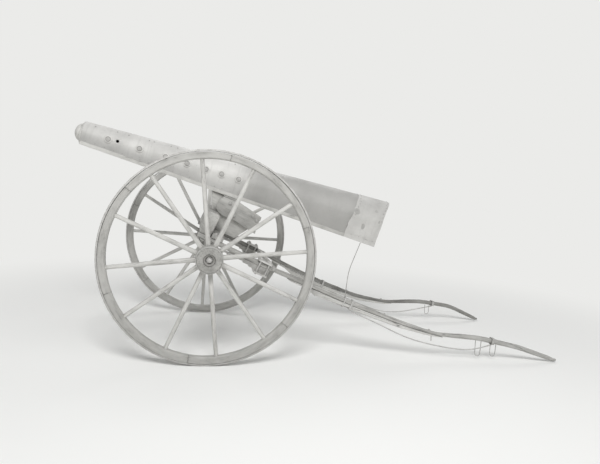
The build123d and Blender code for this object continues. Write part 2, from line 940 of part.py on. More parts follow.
cheek_rear_corner, cheek_middle_corner = cheek_outline[4], cheek_outline[5]
saddle_corners = (
    cheek_rear_corner,
    cheek_middle_corner,
    (cheek_middle_corner[0], tube_underside(cheek_middle_corner[0])),
    (cheek_rear_corner[0], tube_underside(cheek_rear_corner[0])),
)
for name, side in sides:
    low, high = sorted((side * cheek_inner_face, side * (cheek_inner_face + cheek_thickness)))
    save(upright(saddle_corners, low, high), f"{name}_saddle")

save(
    bed_board(
        [
            (spacer_start, plank_top),
            (spacer_end, plank_top),
            (spacer_end, spacer_height),
            (spacer_start, spacer_height),
        ],
        panel_thickness - cheek_inner_face,
        cheek_inner_face - panel_thickness,
    ),
    "panel_spacer",
)


# Iron bands round the shafts, and the lashings that tie the traces to the bars
def shaft_place(side, x):
    """Centre height, slope and spread of a shaft at a distance along the cart."""
    centres = [Vector(station[0], station[1] - side * station[2]) for station in shaft_stations]
    rise = height_on(centres, x + band_width) - height_on(centres, x - band_width)
    splay = (tip_shaft_spread - bed_shaft_spread) / (shaft_stations[-1][0] - splay_start)
    spread = bed_shaft_spread + splay * (x - splay_start)
    return height_on(centres, x), rise / (2 * band_width), side * spread, side * splay


def make_band(side, x, width, thickness, fit, hole_width, top, bottom):
    """Closed band round a shaft, from top above its centre line to bottom below it."""
    height, rise, spread, splay = shaft_place(side, x)
    along = Vector(1, splay, rise)
    band_plane = Plane(origin=(x, spread, height), x_dir=(splay, -1, 0), z_dir=along)
    hole = (hole_width + 2 * fit, top + bottom + 2 * fit)
    if band_plane.y_dir.Z < 0:
        top, bottom = bottom, top
    with BuildPart() as band:
        with BuildSketch(band_plane.offset(-width / 2)):
            with Locations((0, (top - bottom) / 2)):
                RectangleRounded(hole[0] + 2 * thickness, hole[1] + 2 * thickness, 2 * thickness)
                RectangleRounded(*hole, 2 * fit, mode=Mode.SUBTRACT)
        extrude(amount=width)
    return band


for name, side in sides:
    half_depth = shaft_front_depth / 2
    save(
        make_band(
            side, trace_bands[name], band_width, band_thickness, band_fit, shaft_width, half_depth, half_depth
        ),
        f"{name}_shaft_band",
    )
    x = trace_ties[name]
    bar_here = height_on([Vector(*station) for station in bar_depths], x)
    height, rise, spread, splay = shaft_place(side, x)
    bar_bottom = (shaft_depth / 2 * sqrt(1 + rise**2) + bar_here) / sqrt(1 + rise**2)
    save(
        make_band(side, x, tie_width, tie_thickness, tie_fit, shaft_width, shaft_depth / 2, bar_bottom),
        f"{name}_trace_tie",
    )


# Ropes and cord loops: plain tubes of straight runs joined by arcs
def make_rope(points, radius):
    """Round tube along a route, every corner rounded as far as its runs allow."""
    route = [Vector(*point) for point in points]
    bends = []
    for before, corner, after in zip(route, route[1:], route[2:]):
        half_turn = radians((after - corner).get_angle(corner - before) / 2)
        shorter = min((corner - before).length, (after - corner).length)
        bends.append(0.45 * shorter / tan(half_turn))
    with BuildPart() as rope:
        with BuildLine() as line:
            FilletPolyline(*route, radius=bends)
        with BuildSketch(Plane(origin=route[0], z_dir=route[1] - route[0])):
            Circle(radius)
        sweep(path=line.wires()[0])
    length = line.wires()[0].length
    print("rope length", round(length, 1), "volume ratio", round(rope.part.volume / (pi * radius**2 * length), 4))
    print("bends", [round(bend) for bend in bends])
    return rope


for name, side in sides:
    points = [(x, shaft_place(side, x)[2], height) for x, height in trace_points[name]]
    save(make_rope(points, trace_radius), f"{name}_trace")

for label, side, x, bottom in loops:
    corner = loop_bend / cos(radians(30))
    middle = bottom + loop_bend
    profile = (
        (-loop_half_width, None),
        (-corner, middle),
        (-corner / 2, bottom),
        (corner / 2, bottom),
        (corner, middle),
        (loop_half_width, None),
    )
    points = []
    for offset, height in profile:
        centre, rise, spread, splay = shaft_place(side, x + offset)
        if height is None:
            height = centre - shaft_front_depth / 2 * sqrt(1 + rise**2) - loop_gap - loop_radius * abs(rise)
        points.append((x + offset, spread - side * loop_inset, height))
    save(make_rope(points, loop_radius), label)
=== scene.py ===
from math import cos, hypot, pi, radians, sin, sqrt

import bmesh
import bpy
from mathutils import Matrix, Vector, noise


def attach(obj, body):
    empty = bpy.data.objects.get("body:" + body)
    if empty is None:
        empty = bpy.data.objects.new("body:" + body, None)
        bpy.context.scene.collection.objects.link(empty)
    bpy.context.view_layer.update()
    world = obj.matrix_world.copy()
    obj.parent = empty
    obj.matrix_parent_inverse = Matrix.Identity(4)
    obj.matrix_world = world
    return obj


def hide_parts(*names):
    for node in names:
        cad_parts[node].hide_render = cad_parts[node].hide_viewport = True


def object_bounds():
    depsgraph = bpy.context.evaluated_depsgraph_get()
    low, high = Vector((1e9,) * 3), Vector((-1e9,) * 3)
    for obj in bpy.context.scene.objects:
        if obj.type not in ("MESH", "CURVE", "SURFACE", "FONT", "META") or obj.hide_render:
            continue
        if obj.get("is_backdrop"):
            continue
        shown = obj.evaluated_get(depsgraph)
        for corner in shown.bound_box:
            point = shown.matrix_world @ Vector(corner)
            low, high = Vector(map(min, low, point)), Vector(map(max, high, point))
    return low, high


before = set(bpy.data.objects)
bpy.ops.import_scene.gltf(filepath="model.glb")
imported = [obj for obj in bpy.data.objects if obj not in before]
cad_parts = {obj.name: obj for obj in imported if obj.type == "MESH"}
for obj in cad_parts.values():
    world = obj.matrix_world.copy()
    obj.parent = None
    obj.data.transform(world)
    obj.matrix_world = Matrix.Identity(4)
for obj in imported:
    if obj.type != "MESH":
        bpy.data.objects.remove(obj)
cad_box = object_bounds()


# The viewpoint: a tripod camera a little below the top of the wheels, looking across the cart.
# It tips down and leans slightly, and its lens takes in 540 pixels of distance over 600 of width.
frame_ahead = 828  # millimetres from the axle forward to the frame's own origin


def place(x, y, z):
    """Point in the frame, from millimetres forward of the axle, across, and above the ground."""
    return Vector((x - frame_ahead, y, z)) / 1000


camera = bpy.data.objects.new("camera", bpy.data.cameras.new("camera"))
bpy.context.scene.collection.objects.link(camera)
bpy.context.scene.camera = camera
picture_width, lens_pixels, pixels_off_middle = 600, 540, 7
camera.data.sensor_width = 36
camera.data.lens = 36 * lens_pixels / picture_width
camera.data.shift_x = pixels_off_middle / picture_width
yaw, pitch, lean = radians(9.97), radians(5.38), radians(3.75)
camera_stands = place(-78.2, -4232.6, 1251.2)
ahead = Vector((sin(yaw) * cos(pitch), cos(yaw) * cos(pitch), -sin(pitch)))
level = Vector((cos(yaw), -sin(yaw), 0))
overhead = level.cross(ahead)
to_right = level * cos(lean) + overhead * sin(lean)
to_top = overhead * cos(lean) - level * sin(lean)
turned_to = Matrix((to_right, to_top, -ahead)).transposed().to_4x4()
camera.matrix_world = Matrix.Translation(camera_stands) @ turned_to
bpy.context.scene.view_settings.view_transform = "Standard"


# The studio: a pale matt floor that runs out into a pale backdrop, under a bright overcast.
# One wide soft lamp stands high in front, a dimmer one fills from the right and a third lights the back.
# The paint of the floor fades into the backdrop between 1.5 and 4.6 m from the cart, where no shadow falls.
def linear(shade):
    """Linear colour of an sRGB hex value."""
    parts = [int(shade[start:start + 2], 16) / 255 for start in (1, 3, 5)]
    return (*[part / 12.92 if part <= 0.04045 else ((part + 0.055) / 1.055) ** 2.4 for part in parts], 1)


def add_node(material, kind, inputs=(), stops=(), **settings):
    """Adds one node, with its settings, its values or links, and the stops of a colour ramp."""
    node = material.node_tree.nodes.new(kind)
    for setting, value in settings.items():
        setattr(node, setting, value)
    for name, value in dict(inputs).items():
        if isinstance(value, bpy.types.NodeSocket):
            material.node_tree.links.new(value, node.inputs[name])
        else:
            node.inputs[name].default_value = value
    for count, (position, shade) in enumerate(stops):
        stop = node.color_ramp.elements[count] if count < 2 else node.color_ramp.elements.new(position)
        stop.position = position
        stop.color = shade
    return node


def new_material(name):
    """Empty material that a finish is built up in."""
    material = bpy.data.materials.new(name)
    material.use_nodes = True
    material.node_tree.nodes.clear()
    return material


backdrop_shade = linear("#EBEBE9")

world = bpy.data.worlds.new("overcast")
bpy.context.scene.world = world
world.use_nodes = True
world.node_tree.nodes.clear()
sky = add_node(world, "ShaderNodeBackground", {"Color": linear("#DCDDDE"), "Strength": 0.42})
seen_sky = add_node(world, "ShaderNodeBackground", {"Color": backdrop_shade, "Strength": 1.0})
sky_ray = add_node(world, "ShaderNodeLightPath")
glossy_or_seen = add_node(
    world, "ShaderNodeMath", {0: sky_ray.outputs["Is Camera Ray"], 1: sky_ray.outputs["Is Glossy Ray"]},
    operation="MAXIMUM"
)
clear_or_seen = add_node(
    world, "ShaderNodeMath", {0: glossy_or_seen.outputs[0], 1: sky_ray.outputs["Is Transmission Ray"]},
    operation="MAXIMUM"
)
sky_mix = add_node(
    world, "ShaderNodeMixShader", {0: clear_or_seen.outputs[0], 1: sky.outputs[0], 2: seen_sky.outputs[0]}
)
add_node(world, "ShaderNodeOutputWorld", {"Surface": sky_mix.outputs[0]})

floor_paint = new_material("matt_floor_paint")
floor_place = add_node(floor_paint, "ShaderNodeNewGeometry")
floor_reach = add_node(floor_paint, "ShaderNodeVectorMath", {0: floor_place.outputs["Position"]}, operation="LENGTH")
floor_fade = add_node(
    floor_paint,
    "ShaderNodeMapRange",
    {"Value": floor_reach.outputs["Value"], "From Min": 1.5, "From Max": 4.6},
    interpolation_type="SMOOTHSTEP",
)
floor_lit = add_node(floor_paint, "ShaderNodeBsdfDiffuse", {"Color": linear("#F6F6F4"), "Roughness": 0.6})
floor_far = add_node(floor_paint, "ShaderNodeEmission", {"Color": backdrop_shade, "Strength": 1.0})
floor_mix = add_node(
    floor_paint, "ShaderNodeMixShader", {0: floor_fade.outputs[0], 1: floor_lit.outputs[0], 2: floor_far.outputs[0]}
)
add_node(floor_paint, "ShaderNodeOutputMaterial", {"Surface": floor_mix.outputs[0]})

floor_mesh = bpy.data.meshes.new("floor")
floor_form = bmesh.new()
floor_sides = 48


def ring(radius, count, start=0.0):
    """Round outline of a number of points, from an angle."""
    angles = [start + 2 * pi * step / count for step in range(count)]
    return [(radius * cos(angle), radius * sin(angle)) for angle in angles]


floor_rings = [[floor_form.verts.new((x, y, 0)) for x, y in ring(reach, floor_sides)] for reach in (4, 12, 60)]
floor_form.faces.new(floor_rings[0])
for inner, outer in zip(floor_rings, floor_rings[1:]):
    for turn in range(floor_sides):
        floor_form.faces.new((inner[turn - 1], outer[turn - 1], outer[turn], inner[turn]))
bmesh.ops.recalc_face_normals(floor_form, faces=floor_form.faces)
floor_form.to_mesh(floor_mesh)
floor_form.free()
floor = bpy.data.objects.new("floor", floor_mesh)
bpy.context.scene.collection.objects.link(floor)
floor_mesh.materials.append(floor_paint)
floor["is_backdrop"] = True

lit_middle = Vector((-0.1, 0, 0.6))
for name, stands, size, power in (
    ("key_lamp", (-1.3, -5.6, 5.5), 3.0, 275),
    ("fill_lamp", (3.4, -5.6, 2.4), 3.6, 48),
    ("back_lamp", (0.9, 4.4, 5.6), 3.6, 125),
):
    lamp = bpy.data.objects.new(name, bpy.data.lights.new(name, "AREA"))
    bpy.context.scene.collection.objects.link(lamp)
    lamp.data.shape = "DISK"
    lamp.data.size = size
    lamp.data.energy = power
    lamp.location = stands
    lamp.rotation_euler = (lit_middle - lamp.location).to_track_quat("-Z", "Y").to_euler()


# The ropes: a trace hangs under each shaft from a lashing to an iron band, and short loops hang beside the bands.
# They are laid hemp of three strands, gone grey, and limp with age.
sides = (("near", -1), ("far", 1))


def rope_line(points):
    """Points along the smooth line that a rope hangs in, read from its spline."""
    line = bpy.data.curves.new("rope_line", "CURVE")
    line.dimensions = "3D"
    line.resolution_u = 14
    spline = line.splines.new("NURBS")
    spline.points.add(len(points) - 1)
    for knot, point in zip(spline.points, points):
        knot.co = (*point, 1)
    spline.order_u = 3
    spline.use_endpoint_u = True
    carrier = bpy.data.objects.new("rope_line", line)
    traced = bpy.data.meshes.new_from_object(carrier)
    places = [Vector(corner.co) for corner in traced.vertices]
    bpy.data.objects.remove(carrier)
    bpy.data.curves.remove(line)
    bpy.data.meshes.remove(traced)
    return places


def even_steps(places, step):
    """The same line, cut into even steps of about the length given."""
    runs = [(after - before).length for before, after in zip(places, places[1:])]
    count = max(2, round(sum(runs) / step))
    reach, total, index, walked = [], sum(runs), 0, 0.0
    for number in range(count + 1):
        wanted = total * number / count
        while index < len(runs) - 1 and walked + runs[index] < wanted:
            walked += runs[index]
            index += 1
        part = min(1, (wanted - walked) / runs[index]) if runs[index] else 0
        reach.append(places[index].lerp(places[index + 1], part))
    return reach


def upright_stations(places, upward=Vector((0, 0, 1))):
    """(centre, across, up) at each place on a line, across it and as upright as it allows."""
    stations = []
    for number, centre in enumerate(places):
        along = (places[min(number + 1, len(places) - 1)] - places[max(number - 1, 0)]).normalized()
        across = upward.cross(along).normalized()
        stations.append((centre, across, along.cross(across)))
    return stations


def swept(name, stations, sections, closed=False, wear=0.0, wear_size=0.05, seed=0, sharp=40, order=(0, 1, 2)):
    """Solid swept through stations, one outline of (across, up) points at each.

    Every point keeps its place along and across the grain, which the finishes read, in the order given.
    Wear takes up to that much off the surface, in patches of about wear_size.
    """
    form = bmesh.new()
    grain = form.verts.layers.float_vector.new("grain")
    rings, run = [], 0.0
    for number, ((centre, across, up), outline) in enumerate(zip(stations, sections)):
        if number:
            run += (centre - stations[number - 1][0]).length
        edge = []
        for side, rise in outline:
            corner = form.verts.new(centre + across * side + up * rise)
            spot = (run, side, rise)
            corner[grain] = (spot[order[0]] + seed * 1.37, spot[order[1]] + seed * 0.11, spot[order[2]] + seed * 0.07)
            edge.append(corner)
        rings.append(edge)
    pairs = list(zip(rings, rings[1:])) + ([(rings[-1], rings[0])] if closed else [])
    for before, after in pairs:
        for corner in range(len(before)):
            form.faces.new((before[corner - 1], before[corner], after[corner], after[corner - 1]))
    if not closed:
        form.faces.new(rings[0])
        form.faces.new(rings[-1])
    bmesh.ops.remove_doubles(form, verts=form.verts, dist=0.00001)
    bmesh.ops.recalc_face_normals(form, faces=form.faces)
    form.normal_update()
    if wear:
        for corner in form.verts:
            spot = corner.co / wear_size + Vector((seed * 7.1, 0, 0))
            depth = 0.5 + 0.5 * noise.noise(spot) + 0.25 * noise.noise(spot * 2.7)
            corner.co -= corner.normal * wear * min(1, max(0, depth))
    mesh = bpy.data.meshes.new(name)
    form.to_mesh(mesh)
    form.free()
    mesh.shade_smooth()
    mesh.set_sharp_from_angle(angle=radians(sharp))
    piece = bpy.data.objects.new(name, mesh)
    bpy.context.scene.collection.objects.link(piece)
    return piece


def fit(piece, material, body, slot, *nodes):
    """Gives a piece its finish and sets it on a body in place of its plain solids; the slot it is handed is not used.
    """
    piece.data.materials.append(material)
    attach(piece, body)
    if nodes:
        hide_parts(*nodes)


def old_hemp(name, strand_hex, shade_hex):
    """Laid hemp gone grey: dull hairy fibres, dark in the grooves between the strands.

    The fibres are drawn 1.6 mm wide and 12 mm long, coarser than real ones, so that they show.
    """
    material = new_material(name)
    grain = add_node(material, "ShaderNodeAttribute", attribute_name="grain")
    fibre_scale = add_node(
        material, "ShaderNodeMapping",
        {"Vector": grain.outputs["Vector"], "Scale": (1 / 0.012, 1 / 0.0016, 1 / 0.0016)}
    )
    fibres = add_node(
        material, "ShaderNodeTexNoise",
        {"Vector": fibre_scale.outputs[0], "Scale": 1.0, "Detail": 4.0, "Roughness": 0.65}
    )
    stains = add_node(
        material, "ShaderNodeTexNoise", {"Vector": grain.outputs["Vector"], "Scale": 14.0, "Detail": 3.0}
    )
    mixed = add_node(material, "ShaderNodeMath", {0: fibres.outputs[0], 1: stains.outputs[0]}, operation="ADD")
    colour = add_node(
        material,
        "ShaderNodeValToRGB",
        {"Fac": add_node(material, "ShaderNodeMath", {0: mixed.outputs[0], 1: 0.5}, operation="MULTIPLY").outputs[0]},
        stops=((0.3, linear(shade_hex)), (0.62, linear(strand_hex))),
    )
    relief = add_node(material, "ShaderNodeBump", {"Height": fibres.outputs[0], "Strength": 0.6, "Distance": 0.0006})
    surface = add_node(
        material,
        "ShaderNodeBsdfPrincipled",
        {
            "Base Color": colour.outputs[0], "Roughness": 0.95, "IOR": 1.5, "Sheen Weight": 0.25,
            "Normal": relief.outputs[0]
        },
    )
    add_node(material, "ShaderNodeOutputMaterial", {"Surface": surface.outputs[0]})
    return material


def strand_ring(radius, groove, twist, count=12):
    """Outline across a three-strand rope, grooved by a share of its radius, with its strands turned by an angle."""
    outline = []
    for step in range(count):
        angle = 2 * pi * step / count
        reach = radius * (1 - groove + groove * cos(3 * angle - twist))
        outline.append((reach * cos(angle), reach * sin(angle)))
    return outline


def laid_rope(name, node, points, diameter, material):
    """Three-strand rope on a smooth line through its route."""
    step, lay = diameter * 0.27, diameter * 3.3
    line = even_steps(rope_line(points), step)
    sections = [strand_ring(diameter / 2, 0.14, 6 * pi * number * step / lay, 15) for number in range(len(line))]
    rope = swept(name, upright_stations(line), sections, sharp=80)
    fit(rope, material, "cart", "rope", node)


shaft_splay_start, shaft_splay, bed_shaft_spread = 480, 0.0582302, 476


def spread_at(x):
    """Distance of a shaft's middle from the cart's centre line."""
    return bed_shaft_spread + shaft_splay * max(0, x - shaft_splay_start)


trace_hemp = old_hemp("trace_hemp", "#D6D5D2", "#9C9B98")
trace_routes = {
    "near": (
        (1045, 335), (1145, 294), (1244, 254), (1344, 209), (1443, 167), (1543, 135),
        (1642, 113), (1742, 95), (1841, 81), (1941, 75), (2040, 88), (2138, 120.6),
    ),
    "far": (
        (1060, 283), (1161, 241), (1261, 207), (1362, 173), (1462, 141), (1563, 108),
        (1663, 85), (1764, 79), (1864, 86), (1965, 103), (2065, 123), (2164, 140.8),
    ),
}
for name, side in sides:
    route = [place(x, side * spread_at(x), z) for x, z in trace_routes[name]]
    laid_rope(f"{name}_trace_rope", f"{name}_trace", route, 0.010, trace_hemp)


loop_hemp = old_hemp("loop_hemp", "#BDBCB8", "#7E7D7A")
shaft_rear, shaft_tip = -82.9, 2661
shaft_line = (
    (shaft_rear, 847.3, 0), (480, 608.4, 0), (795, 477, 17), (1108, 352, 24), (1420, 252, 20),
    (1732, 186, 3), (2038, 178, -9), (2350, 127, -18), (shaft_tip, 15, 0),
)


def shaft_height(side, x):
    """Height of a shaft's middle at a distance forward of the axle, straight from bend to bend.

    The two shafts have sprung apart, so each bend has a height and the part that one side adds and the other loses.
    """
    for before, after in zip(shaft_line, shaft_line[1:]):
        if x <= after[0] or after is shaft_line[-1]:
            part = (x - before[0]) / (after[0] - before[0])
            return (before[1] - side * before[2]) * (1 - part) + (after[1] - side * after[2]) * part


trace_band_at = {-1: 2140, 1: 2166}
front_half_depth, loop_gap, loop_radius, loop_inset, band_iron = 19, 0.9, 2.75, 12, 4.8
loops = (("near_rear_loop", -1, 2040, 28), ("near_front_loop", -1, 2159, 30), ("far_loop", 1, 2112, 68))
for name, side, x, bottom in loops:
    route = []
    for step, height in ((-22, None), (-21.939, 19), (-10.97, 0), (10.97, 0), (21.939, 19), (22, None)):
        rise = (shaft_height(side, x + step + 24) - shaft_height(side, x + step - 24)) / 48
        top = shaft_height(side, x + step) - front_half_depth * sqrt(1 + rise**2) - loop_gap - loop_radius * abs(rise)
        if abs(x + step - trace_band_at[side]) < 15:
            top -= band_iron
        across = side * (spread_at(x + step) - loop_inset)
        route.append(place(x + step, across, top if height is None else bottom + height))
    laid_rope(name + "_cord", name, route, 2 * loop_radius / 1000, loop_hemp)


# The rims: six bent ash felloes, chamfered inside, in an iron tyre that was shrunk on hot.
# The old pale paint is chalky and chipped, and the upper felloes have drawn in and leave a dark line at the tyre.
def joined(name, pieces):
    """One object from several loose pieces."""
    with bpy.context.temp_override(
        active_object=pieces[0], selected_editable_objects=pieces, selected_objects=pieces
    ):
        bpy.ops.object.join()
    pieces[0].name = pieces[0].data.name = name
    return pieces[0]


def around(centre, axis, radius, steps, start=0.0, turn=2 * pi):
    """Stations round a wheel's axis, for outlines of (along the axis, out from the radius) points."""
    first, second = Vector((1, 0, 0)), Vector((0, 0, 1))
    stations = []
    for number in range(steps):
        angle = start + turn * number / steps
        out = first * cos(angle) + second * sin(angle)
        stations.append((centre + out * radius, axis, out))
    return stations


def rounded_box(width, depth, corner, steps=3):
    """Outline of a bar with rounded corners, for (across, up) points."""
    outline = []
    for quarter, (side, rise) in enumerate(((1, -1), (1, 1), (-1, 1), (-1, -1))):
        middle = (side * (width / 2 - corner), rise * (depth / 2 - corner))
        for step in range(steps + 1):
            angle = (quarter - 1 + step / steps) * pi / 2
            outline.append((middle[0] + corner * cos(angle), middle[1] + corner * sin(angle)))
    return outline


def old_paint(name, paint_hex, dirt_hex, bare_hex, bare_share, check_gap=0.012, dull_share=0.0):
    """Chalky oil paint on wood: streaked along the grain, stained, crazed into long checks, and rubbed to bare wood.

    The streaks are drawn 5 mm wide, coarser than brush marks, so that they show.
    A share of the paint goes dull from one to two metres along the grain. Corners and nooks are darkened by ambient
    occlusion, painted shade that stands also for grime.
    """
    material = new_material(name)
    grain = add_node(material, "ShaderNodeAttribute", attribute_name="grain").outputs["Vector"]
    streak_place = add_node(
        material, "ShaderNodeMapping", {"Vector": grain, "Scale": (1 / 0.16, 1 / 0.005, 1 / 0.005)}
    )
    streaks = add_node(
        material, "ShaderNodeTexNoise",
        {"Vector": streak_place.outputs[0], "Scale": 1.0, "Detail": 5.0, "Roughness": 0.6}
    )
    stain_place = add_node(material, "ShaderNodeMapping", {"Vector": grain, "Scale": (1 / 0.13, 1 / 0.05, 1 / 0.05)})
    stains = add_node(
        material, "ShaderNodeTexNoise",
        {"Vector": stain_place.outputs[0], "Scale": 1.0, "Detail": 4.0, "Roughness": 0.58}
    )
    check_place = add_node(
        material, "ShaderNodeMapping", {"Vector": grain, "Scale": (0.09 / check_gap, 1 / check_gap, 1 / check_gap)}
    )
    wavy = add_node(material, "ShaderNodeTexNoise", {"Vector": check_place.outputs[0], "Scale": 1.6, "Detail": 2.0})
    bent = add_node(
        material,
        "ShaderNodeVectorMath",
        {0: check_place.outputs[0], 1: add_node(
            material, "ShaderNodeVectorMath", {0: wavy.outputs["Color"], 1: (0.5, 0.5, 0.5)}, operation="SUBTRACT"
        ).outputs[0]},
        operation="ADD",
    )
    cells = add_node(
        material, "ShaderNodeTexVoronoi", {"Vector": bent.outputs[0], "Scale": 1.0}, feature="DISTANCE_TO_EDGE"
    )
    open_check = add_node(
        material,
        "ShaderNodeMapRange",
        {"Value": cells.outputs["Distance"], "From Min": 0.0, "From Max": 0.055, "To Min": 1.0, "To Max": 0.0},
    )
    some = add_node(material, "ShaderNodeMapRange", {"Value": stains.outputs[0], "From Min": 0.5, "From Max": 0.72})
    checks = add_node(
        material, "ShaderNodeMath", {0: open_check.outputs[0], 1: some.outputs[0]}, operation="MULTIPLY"
    )
    stained = add_node(
        material, "ShaderNodeMapRange", {"Value": stains.outputs[0], "From Min": 0.36, "From Max": 0.74}
    )
    shaded = add_node(
        material, "ShaderNodeMix", {"Factor": stained.outputs[0], 6: linear(paint_hex), 7: linear(dirt_hex)},
        data_type="RGBA"
    )
    along = add_node(material, "ShaderNodeSeparateXYZ", {"Vector": grain})
    dulling = add_node(
        material, "ShaderNodeMapRange",
        {"Value": along.outputs["X"], "From Min": 1.0, "From Max": 1.9, "To Max": dull_share}
    )
    weathered = add_node(
        material, "ShaderNodeMix", {"Factor": dulling.outputs[0], 6: shaded.outputs[2], 7: linear(bare_hex)},
        data_type="RGBA"
    )
    worn_edge = add_node(material, "ShaderNodeNewGeometry").outputs["Pointiness"]
    edge_share = add_node(
        material, "ShaderNodeMapRange", {"Value": worn_edge, "From Min": 0.53, "From Max": 0.62, "To Max": 0.22}
    )
    rubbed = add_node(material, "ShaderNodeMath", {0: streaks.outputs[0], 1: edge_share.outputs[0]}, operation="ADD")
    bare_mask = add_node(
        material,
        "ShaderNodeMapRange",
        {"Value": rubbed.outputs[0], "From Min": 1 - bare_share, "From Max": 1.12 - bare_share},
    )
    worn = add_node(
        material,
        "ShaderNodeMix",
        {"Factor": bare_mask.outputs[0], 6: weathered.outputs[2], 7: linear(bare_hex)},
        data_type="RGBA",
    )
    # Painted shade: ambient occlusion darkens the paint in corners and nooks, standing also for grime gathered there.
    nooks = add_node(material, "ShaderNodeAmbientOcclusion", {"Distance": 0.035}, samples=6)
    grime_and_nook_shade = add_node(
        material,
        "ShaderNodeMapRange",
        {"Value": nooks.outputs["AO"], "From Min": 0.2, "From Max": 0.75, "To Min": 0.72, "To Max": 1.0},
    )
    grimed_and_shaded = add_node(
        material,
        "ShaderNodeMix",
        {"Factor": 1.0, 6: worn.outputs[2], 7: grime_and_nook_shade.outputs[0]},
        data_type="RGBA",
        blend_type="MULTIPLY",
    )
    final = add_node(
        material, "ShaderNodeMix", {"Factor": checks.outputs[0], 6: grimed_and_shaded.outputs[2], 7: linear("#6E6D6A")},
        data_type="RGBA"
    )
    height = add_node(
        material, "ShaderNodeMath", {0: checks.outputs[0], 1: -1.2, 2: streaks.outputs[0]}, operation="MULTIPLY_ADD"
    )
    relief = add_node(material, "ShaderNodeBump", {"Height": height.outputs[0], "Strength": 0.55, "Distance": 0.0012})
    roughness = add_node(
        material,
        "ShaderNodeMapRange",
        {"Value": stains.outputs[0], "From Min": 0.3, "From Max": 0.7, "To Min": 0.66, "To Max": 0.86},
    )
    surface = add_node(
        material,
        "ShaderNodeBsdfPrincipled",
        {"Base Color": final.outputs[2], "Roughness": roughness.outputs[0], "IOR": 1.5, "Normal": relief.outputs[0]},
    )
    add_node(material, "ShaderNodeOutputMaterial", {"Surface": surface.outputs[0]})
    return material


def worn_iron(name, iron_hex, rust_hex, bright_hex, metallic, roughness=0.62):
    """Wrought iron from the forge: dull scale, rust bloom in patches, pits, and edges rubbed brighter.

    The pits are drawn 4 mm apart, coarser than real ones, so that they show.
    """
    material = new_material(name)
    spot = add_node(material, "ShaderNodeTexCoord").outputs["Object"]
    bloom = add_node(
        material, "ShaderNodeTexNoise", {"Vector": spot, "Scale": 34.0, "Detail": 6.0, "Roughness": 0.62}
    )
    pits = add_node(material, "ShaderNodeTexVoronoi", {"Vector": spot, "Scale": 260.0, "Randomness": 1.0})
    hammered = add_node(material, "ShaderNodeTexNoise", {"Vector": spot, "Scale": 90.0, "Detail": 3.0})
    patches = add_node(material, "ShaderNodeMapRange", {"Value": bloom.outputs[0], "From Min": 0.42, "From Max": 0.6})
    coat = add_node(
        material, "ShaderNodeMix", {"Factor": patches.outputs[0], 6: linear(iron_hex), 7: linear(rust_hex)},
        data_type="RGBA"
    )
    rim = add_node(material, "ShaderNodeNewGeometry").outputs["Pointiness"]
    rubbed = add_node(
        material, "ShaderNodeMapRange", {"Value": rim, "From Min": 0.51, "From Max": 0.6, "To Max": 0.8}
    )
    colour = add_node(
        material, "ShaderNodeMix", {"Factor": rubbed.outputs[0], 6: coat.outputs[2], 7: linear(bright_hex)},
        data_type="RGBA"
    )
    height = add_node(
        material, "ShaderNodeMath", {0: pits.outputs["Distance"], 1: 0.5, 2: hammered.outputs[0]},
        operation="MULTIPLY_ADD"
    )
    relief = add_node(material, "ShaderNodeBump", {"Height": height.outputs[0], "Strength": 0.45, "Distance": 0.0009})
    dull = add_node(
        material, "ShaderNodeMapRange",
        {
            "Value": bloom.outputs[0], "From Min": 0.3, "From Max": 0.7, "To Min": roughness - 0.12,
            "To Max": roughness + 0.2
        },
    )
    surface = add_node(
        material,
        "ShaderNodeBsdfPrincipled",
        {
            "Base Color": colour.outputs[2], "Metallic": metallic, "Roughness": dull.outputs[0],
            "Normal": relief.outputs[0]
        },
    )
    add_node(material, "ShaderNodeOutputMaterial", {"Surface": surface.outputs[0]})
    return material


wheel_paint = old_paint("wheel_paint_on_ash", "#BDBCB8", "#A3A29E", "#908F8A", bare_share=0.38)
spoke_paint = old_paint("spoke_paint_on_ash", "#D4D3CF", "#B6B5B1", "#9F9E99", bare_share=0.4)
tyre_iron = worn_iron("tyre_iron", "#B5B4B1", "#999793", "#CFCECB", metallic=0.15)
hub_spread, axle_height = 718, 710


def hub_of(side):
    """Middle of a wheel, and the way out from the cart."""
    return place(0, side * hub_spread, axle_height), Vector((0, side, 0))


